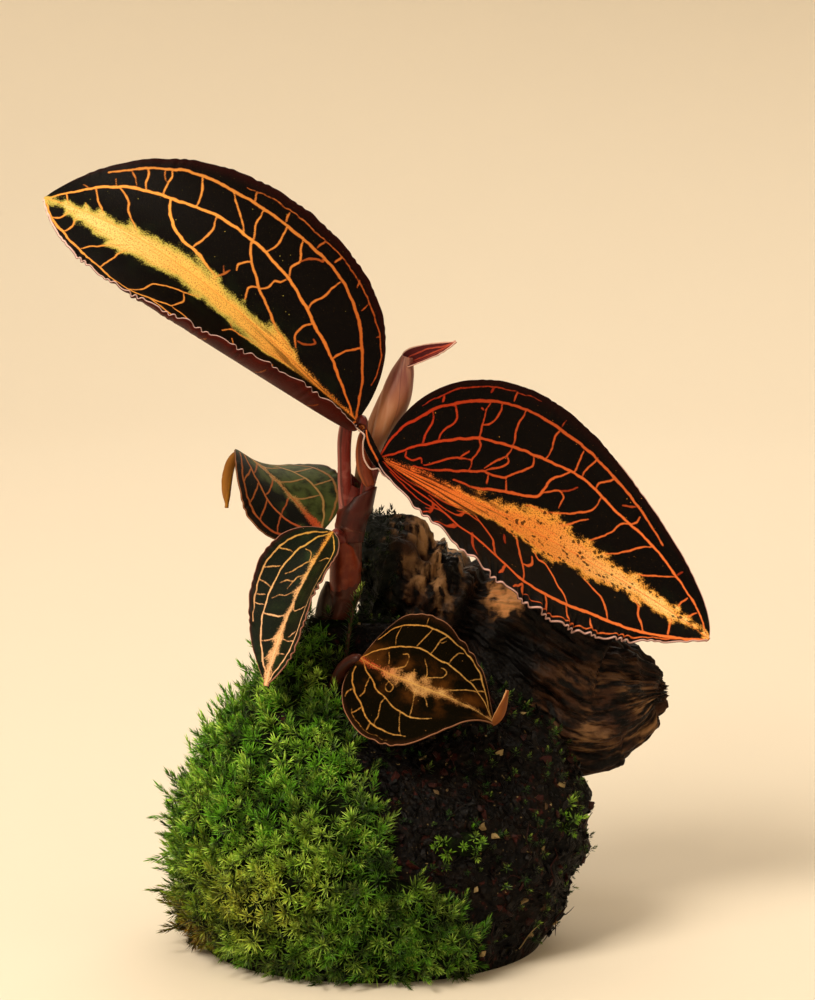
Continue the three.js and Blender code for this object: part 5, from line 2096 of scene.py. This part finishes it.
@dataclass(frozen=True)
class MossCushion:
    """The moss over the clump's front and left: a dark bed and thousands of star-like shoots.

    `yellow` and `rust` are spots of dying shoots, each its middle and reach sideways, then upward.
    """

    yellow: tuple[float, float, float, float] = (-12, 7.5, 11, 5)
    rust: tuple[float, float, float, float] = (-22, 3.5, 3.5, 4)
    shape: ClumpShape = ClumpShape()
    depth: float = 3.2
    tuft_spacing: float = 4.6
    tuft_rise: float = 1.9
    sink: float = 2.9
    finish: MossFinish = MossFinish()
    stars: tuple[ShootShape, ...] = tuple(ShootShape(25, 1.5, 2.4, 0.24, 4, 80, seed) for seed in (1, 2, 3))
    plumes: tuple[ShootShape, ...] = tuple(ShootShape(32, 4.2, 2.1, 0.23, 24, 82, seed) for seed in (4, 5, 6))

    def tufts(self) -> Array:
        """Spreads the tufts evenly over the clump, with the part's own seeded draws.

        Returns:
            Their middles, one row each.
        """
        state = 11

        def draw() -> float:
            """Draws once more.

            Returns:
                A number from 0 to 1.
            """
            nonlocal state
            state = (state * 1664525 + 1013904223) % 4294967296
            return state / 4294967296

        places, level = [], 2.0
        while level < self.shape.height:
            girth = TURN * float(self.shape.reach(np.array(level), np.array(math.pi * 1.25)))
            count = max(3, round(girth / self.tuft_spacing))
            for k in range(count):
                angle = TURN * (k + 0.6 * draw()) / count
                height = level + (draw() - 0.5) * self.tuft_spacing * 0.6
                reach = float(self.shape.reach(np.array(height), np.array(angle)))
                places.append((reach * math.cos(angle), reach * math.sin(angle), height))
            level += self.tuft_spacing * 0.85
        return np.array(places)

    def bed(self) -> Piece:
        """Makes the dark bed under the shoots, with the marks that colour and thin them.

        Returns:
            The piece.
        """
        shape, angle = self.shape, circle(200)
        height = np.linspace(1.2, 47.2, 80)[:, None]
        level = np.minimum(height, shape.height - 0.2)
        inner = shape.reach(level, angle)
        x, y = inner * np.cos(angle), inner * np.sin(angle)
        cover = shape.cover(x + shape.axis[0], y + shape.axis[1], level)
        flat = grid(x, y, level)
        nearest = np.min([np.linalg.norm(flat - tuft, axis=-1) for tuft in self.tufts()], axis=0)
        bump = self.tuft_rise * np.maximum(0, 1 - nearest / (0.62 * self.tuft_spacing))
        outer = inner + self.depth * smooth(-1, 4, height) + bump + 0.9 * lumps(x, y, level, 14)
        sunk = np.maximum(inner - 3, 1)
        body = shape.ring_points(height, angle, sunk + (outer - sunk) * cover - self.sink * cover)
        px, py, pz = np.moveaxis(body, -1, 0)
        front = smooth(4, -6, py)
        yellow, rust = (bell((px - x) / wide, (pz - z) / high) * front
                        for x, wide, z, high in (self.yellow, self.rust))
        yellow = yellow * 0.95 + 0.2 * smooth(0.15, 0.6, rough(body, 9.0, 3, seed=8))
        # painted shade: darker in random hollows, high up under the leaf above, on the right and low down,
        # and less where the shoots are yellow
        painted_shade = smooth(0.0, -0.45, rough(body, 4.0, 2, seed=5)) * 0.9 + smooth(38, 44, pz) * 0.5
        painted_shade = painted_shade + 0.4 * smooth(-6, 2, px) * smooth(3, 8, pz) + 0.55 * smooth(15, 2, pz)
        full = 0.35 + 0.65 * smooth(-0.45, 0.0, rough(body, 3.4, 3, seed=1))
        marks = {
            "thick": smooth(0.35, 0.7, cover) * smooth(0.9, 2.2, height) * full,
            "yellow": np.clip(yellow, 0, 1),
            "rust": np.clip(rust, 0, 0.9),
            "painted_shade": np.clip(painted_shade * (1 - 0.85 * yellow), 0, 1),
        }
        return closed_body("moss_bed", body, marks, self.finish.bed("moss_floor"))

    def build(self) -> list[Piece]:
        """Makes the bed and its two sowings of shoots.

        Returns:
            The pieces.
        """
        bed, leafy = self.bed(), self.finish.paint("moss_leaflets")
        low = Scatter("moss_stars", 0.95, 105, "thick", (0.7, 1.2), 0.4, 0.5, 2)
        high = Scatter("moss_plumes", 1.5, 48, "thick", (0.6, 1.15), 0.75, 0.5, 9)
        sown = [low.grow(bed, self.stars, leafy), high.grow(bed, self.plumes, leafy)]
        return hand_over(Slot.MOSS, "moss_cushion", bed, *sown)


@dataclass(frozen=True)
class MossPatch:
    """A small patch of moss on the clump's bare side."""

    node: str
    at: Triple
    reach: Triple
    seed: int
    finish: MossFinish = MossFinish()
    shoots: tuple[ShootShape, ...] = tuple(ShootShape(20, 1.6, 1.7, 0.34, 10, 80, seed) for seed in (7, 8))

    def build(self) -> list[Piece]:
        """Makes the patch's bed and its shoots.

        Returns:
            The pieces.
        """
        rise = np.linspace(-0.5, 0.5, 25)[:, None] * math.pi
        angle = circle(40)
        ball = grid(np.cos(rise) * np.cos(angle), np.cos(rise) * np.sin(angle), np.sin(rise))
        for pole, next_ring in ((0, 1), (-1, -2)):
            ball[pole] += 1e-4 * ball[next_ring]
        points = np.array(self.at) + ball * (np.array(self.reach) - 1.0)
        points *= 1 + 0.004 * rough(points, 1.5, 3)[..., None]
        open_side = smooth(-0.2, 0.5, -ball[..., 1] + 0.5 * ball[..., 0] + 0.3 * ball[..., 2])
        # a little painted shade over all of the patch's shoots
        marks = {"thick": open_side} | {
            key: np.array(value) for key, value in (("yellow", 0.15), ("rust", 0.0), ("painted_shade", 0.25))
        }
        bed = closed_body(f"{self.node}_bed", points, marks, self.finish.bed(f"{self.node}_floor"))
        sown = Scatter(f"{self.node}_shoots", 1.1, 60, "thick", (0.5, 0.95), 0.5, 0.5, self.seed)
        shoots = sown.grow(bed, self.shoots, self.finish.paint(f"{self.node}_leaflets"))
        return hand_over(Slot.MOSS, self.node, bed, shoots)


@dataclass(frozen=True)
class TallMossShoot:
    """The tall feathery shoot beside the stem: a thin stalk set all round with fine leaflets.

    `bare` is the share of the stalk below them, `climb` how steeply they stand at its foot and how
    much steeper at its tip, in degrees.
    """

    path: Path = (
        (-0.8, -4.4, 38.5, 0.3), (-0.4, -4.8, 44, 0.28), (0.5, -4.8, 49.5, 0.22), (1.9, -4.6, 53.0, 0.12),
    )
    leaflets: int = 120
    length: float = 2.0
    width: float = 0.32
    bare: float = 0.2
    climb: tuple[float, float] = (28, 38)
    seed: int = 12
    skin: SkinFinish = SkinFinish("3a2414", "5a4020", "20140c")
    # painted shade: darker copies of the moss colours, for the shoot that stands in shade beside the stem
    finish: MossFinish = MossFinish("0e1a06", "24420f", "6a7a2c")

    def build(self) -> list[Piece]:
        """Makes the stalk and its leaflets.

        Returns:
            The pieces.
        """
        stalk = Tube(self.path, 10, 8).build("moss_tall_stalk", self.skin.paint("moss_tall_skin"))
        course = catmull(np.array(self.path), 60)[:, :3]
        draw = np.random.default_rng(self.seed)
        leaflets, shade = [], []
        for k in range(self.leaflets):
            share = self.bare + (1 - self.bare) * k / self.leaflets
            foot = course[int(share * (len(course) - 1))]
            turn = k * SPIRAL + draw.uniform(-0.2, 0.2)
            climb = math.radians(self.climb[0] + self.climb[1] * share + draw.uniform(-8, 8))
            length = self.length * draw.uniform(0.8, 1.05) * (1 - 0.45 * share**3)
            leaflets.append(leaflet(foot, turn, climb, length, self.width, 0.4))
            shade += [share**3] * 4
        marks = {"tip": np.array([0.0, 0.45, 1.0, 0.45] * self.leaflets), "shade": np.array(shade)}
        plume = leafy_piece("moss_tall_plume", leaflets, marks, self.finish.paint("moss_tall_leaflets"))
        return hand_over(Slot.MOSS, "moss_shoot_tall", plume, stalk)


# ---------- studio


@dataclass(frozen=True)
class Studio:
    """The camera, the soft lights and the pale floor that sweeps up behind the plant."""

    target: Triple = (8.2, 0, 64.5)
    distance: float = 480
    elevation: float = 10
    lens: float = 120.96
    paper: str = "e2d9c8"
    paper_fleck: str = "dacdb6"
    air: str = "fbe6c8"
    air_strength: float = 0.06
    floor_radius: float = 500
    floor_bend: float = 400
    wall_height: float = 1800

    def camera(self) -> None:
        """Sets the camera that looks along +Y."""
        data = bpy.data.cameras.new("camera")
        data.lens, data.clip_start, data.clip_end = self.lens, 0.01, 20
        camera = placed("camera", data)
        tilt = math.radians(self.elevation)
        x, y, z = self.target
        back, up = self.distance * math.cos(tilt), self.distance * math.sin(tilt)
        camera.location = (x * MM, (y - back) * MM, (z + up) * MM)
        camera.rotation_euler = (math.pi / 2 - tilt, 0, 0)
        bpy.context.scene.camera = camera

    def light(
        self, name: str, place: Triple, size: float, power: float, colour: str,
        goal: Triple = (0.005, 0, 0.06),
    ) -> None:
        """Sets one soft square light.

        Args:
            name: its name.
            place: where it is, in metres.
            size: its side in metres.
            power: its power in watts.
            colour: its colour as a hex code.
            goal: what it faces, in metres.
        """
        data = bpy.data.lights.new(name, "AREA")
        data.size, data.energy, data.color = size, power, tint(colour)[:3]
        lamp = placed(name, data)
        lamp.location = place
        lamp.rotation_euler = (Vector(goal) - Vector(place)).to_track_quat("-Z", "Y").to_euler()

    def floor(self) -> None:
        """Lays the round floor, which curves up into a backdrop on every side."""
        radius, bend, turn = self.floor_radius, self.floor_bend, circle(72)
        profile = [(1.0, 0.0), (radius, 0.0)]
        for a in np.linspace(0, math.pi / 2, 24)[1:]:
            profile.append((radius + bend * math.sin(a), bend - bend * math.cos(a)))
        profile.append((radius + bend, self.wall_height))
        rows = np.array([grid(r * np.cos(turn), r * np.sin(turn), 0 * turn + z) for r, z in profile])
        faces = grid_faces(len(rows), len(turn), closed=True).tolist()
        p = Paint("floor_paper")
        paper = p.dress(p.coat(self.paper, (p.grain(60, 3) * 0.08, self.paper_fleck)), 0.85)
        mesh_piece("floor_sweep", rows, [*faces, list(range(len(turn)))], None, paper)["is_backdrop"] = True

    def build(self) -> None:
        """Sets up the whole studio."""
        self.camera()
        self.light("key_light", (-0.32, -0.34, 0.52), 0.28, 5.0, "fff1dc")
        self.light("fill_light", (0.55, -0.5, 0.28), 0.6, 0.7, "ffeedd")
        self.light("back_light", (0.1, 0.5, 0.5), 0.5, 1.7, "fff4e4")
        self.light("paper_light", (0, 0.1, 1.5), 0.9, 4.3, "fff4e6", (0, 0.95, 0.3))
        self.floor()
        world = bpy.data.worlds.new("studio_air")
        world.use_nodes = True
        air = world.node_tree.nodes["Background"].inputs
        air["Color"].default_value, air["Strength"].default_value = tint(self.air), self.air_strength
        bpy.context.scene.world = world
        bpy.context.scene.view_settings.view_transform = "Standard"


PARTS = (
    SubstrateClump(), BarkChunk(), MossCushion(),
    MossPatch("moss_patch_front", (15.5, -18.5, 19), (5, 3.2, 2.8), 31),
    MossPatch("moss_patch_right", (30.5, -7, 19.5), (3, 4, 3.4), 32),
    TallMossShoot(), Stem(), UPPER_LEFT, UPPER_RIGHT, BACK_LEFT, FRONT_LEFT, LOWER_FRONT, RolledLeaf(),
)


def main() -> None:
    """Builds every sub-assembly in the CAD frame and reports each piece."""
    logging.basicConfig(level=logging.INFO, format="%(name)s: %(message)s")
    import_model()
    box_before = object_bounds()
    Studio().build()
    for part in PARTS:
        for piece in part.build():
            LOG.info("%s: %d faces", piece.name, len(piece.data.polygons))
    sizes = {"cad": box_before, "visual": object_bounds()}
    {key: [list(map(float, corner)) for corner in box] for key, box in sizes.items()}


if __name__ == "__main__":
    main()
